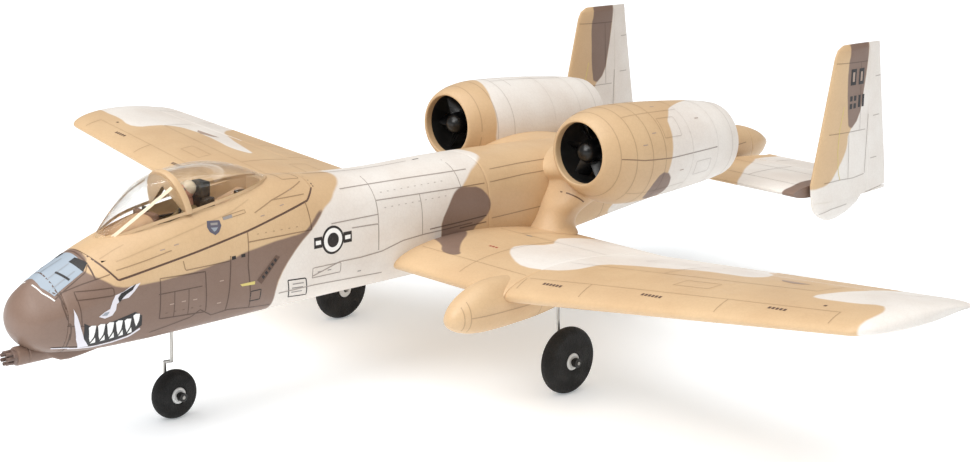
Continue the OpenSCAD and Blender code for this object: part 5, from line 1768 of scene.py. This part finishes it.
# Battery label, board parts and servo lids, laid on the CAD pieces
m = Marks("bay_marks", Surface(NODES["battery"], NODES["control_board"]), "airframe", "battery_wrap")
m.patch("top", box(4.6, 78, 14, 112), "white", 3)
m.patch("top", box(4.6, 96, 14, 104), "yellow", 3, 0.15)
for x0, s0, x1, s1 in ((-10, 150, -3, 158), (1, 150, 9, 162), (-9, 164, -2, 172), (2, 168, 10, 176)):
    m.patch("top", box(x0, s0, x1, s1), "black", 3)
m.make()

# ---------------------------------------------------------------- floor, light and camera


def aim(ob, at, target):
    ob.location = at
    ob.rotation_euler = (Vector(target) - Vector(at)).to_track_quat("-Z", "Y").to_euler()


def area_light(name, at, target, size, power_of, colour=(1, 1, 1)):
    lamp = bpy.data.lights.new(name, "AREA")
    lamp.shape, lamp.size, lamp.size_y = "RECTANGLE", size[0], size[1]
    lamp.energy, lamp.color = power_of, colour
    ob = bpy.data.objects.new(name, lamp)
    bpy.context.scene.collection.objects.link(ob)
    aim(ob, at, target)


FLOOR_HALF = 6  # metres
floor_mesh = bpy.data.meshes.new("floor")
FLOOR_CORNERS = [(x, y, 0) for x, y in box(-FLOOR_HALF, -FLOOR_HALF, FLOOR_HALF, FLOOR_HALF)]
floor_mesh.from_pydata(FLOOR_CORNERS, [], [(0, 1, 2, 3)])
floor = bpy.data.objects.new("floor", floor_mesh)
bpy.context.scene.collection.objects.link(floor)
sheet_of = Nodes("white_floor")
sheet_of.set(Base_Color=sheet_of.mix(sheet_of.noise(3, 2), linear((243, 246, 250)),
                                     linear((247, 250, 253))),
             Roughness=0.6, Specular_IOR_Level=0.2, Emission_Color=(0.93, 0.98, 1.0, 1),
             Emission_Strength=0.3)
floor_mesh.materials.append(sheet_of.material)

sky = bpy.data.lights.new("overhead", "SUN")
sky.energy, sky.angle, sky.color = 2.5, math.radians(70), (1.0, 0.995, 0.985)
overhead = bpy.data.objects.new("overhead", sky)
bpy.context.scene.collection.objects.link(overhead)
aim(overhead, (0.2, -0.55, 2), (0, 0, 0))
area_light("front_glow", (0.2, -1.45, 1.1), (0, 0, 0.08), (1.0, 0.8), 12.0, (1.0, 0.99, 0.98))

world = bpy.data.worlds.new("studio")
bpy.context.scene.world = world
world.use_nodes = True
back = world.node_tree.nodes["Background"]
back.inputs["Color"].default_value = (1.0, 0.995, 0.985, 1)
back.inputs["Strength"].default_value = 0.34
bpy.context.scene.view_settings.view_transform = "Standard"

AZIMUTH, ELEVATION, ROLL = 0.7676212561, 0.2433535565, 0.0315041077
TARGET, DISTANCE, LENS, SENSOR = Vector((-0.0727716, 0.098394, 0.0344783)), 1.085924, 70.38, 36.0
toward = Vector((math.sin(AZIMUTH) * math.cos(ELEVATION), -math.cos(AZIMUTH) * math.cos(ELEVATION),
                 math.sin(ELEVATION)))
right_of = (-toward).cross(Vector((0, 0, 1))).normalized()
up_of = right_of.cross(-toward)
right_tilted = math.cos(ROLL) * right_of + math.sin(ROLL) * up_of
up_tilted = -math.sin(ROLL) * right_of + math.cos(ROLL) * up_of
placing = Matrix((right_tilted, up_tilted, toward)).transposed().to_4x4()
placing.translation = TARGET + toward * DISTANCE
lens = bpy.data.cameras.new("camera")
lens.lens, lens.sensor_width = LENS, SENSOR
camera = bpy.data.objects.new("camera", lens)
bpy.context.scene.collection.objects.link(camera)
camera.matrix_world = placing
bpy.context.scene.camera = camera
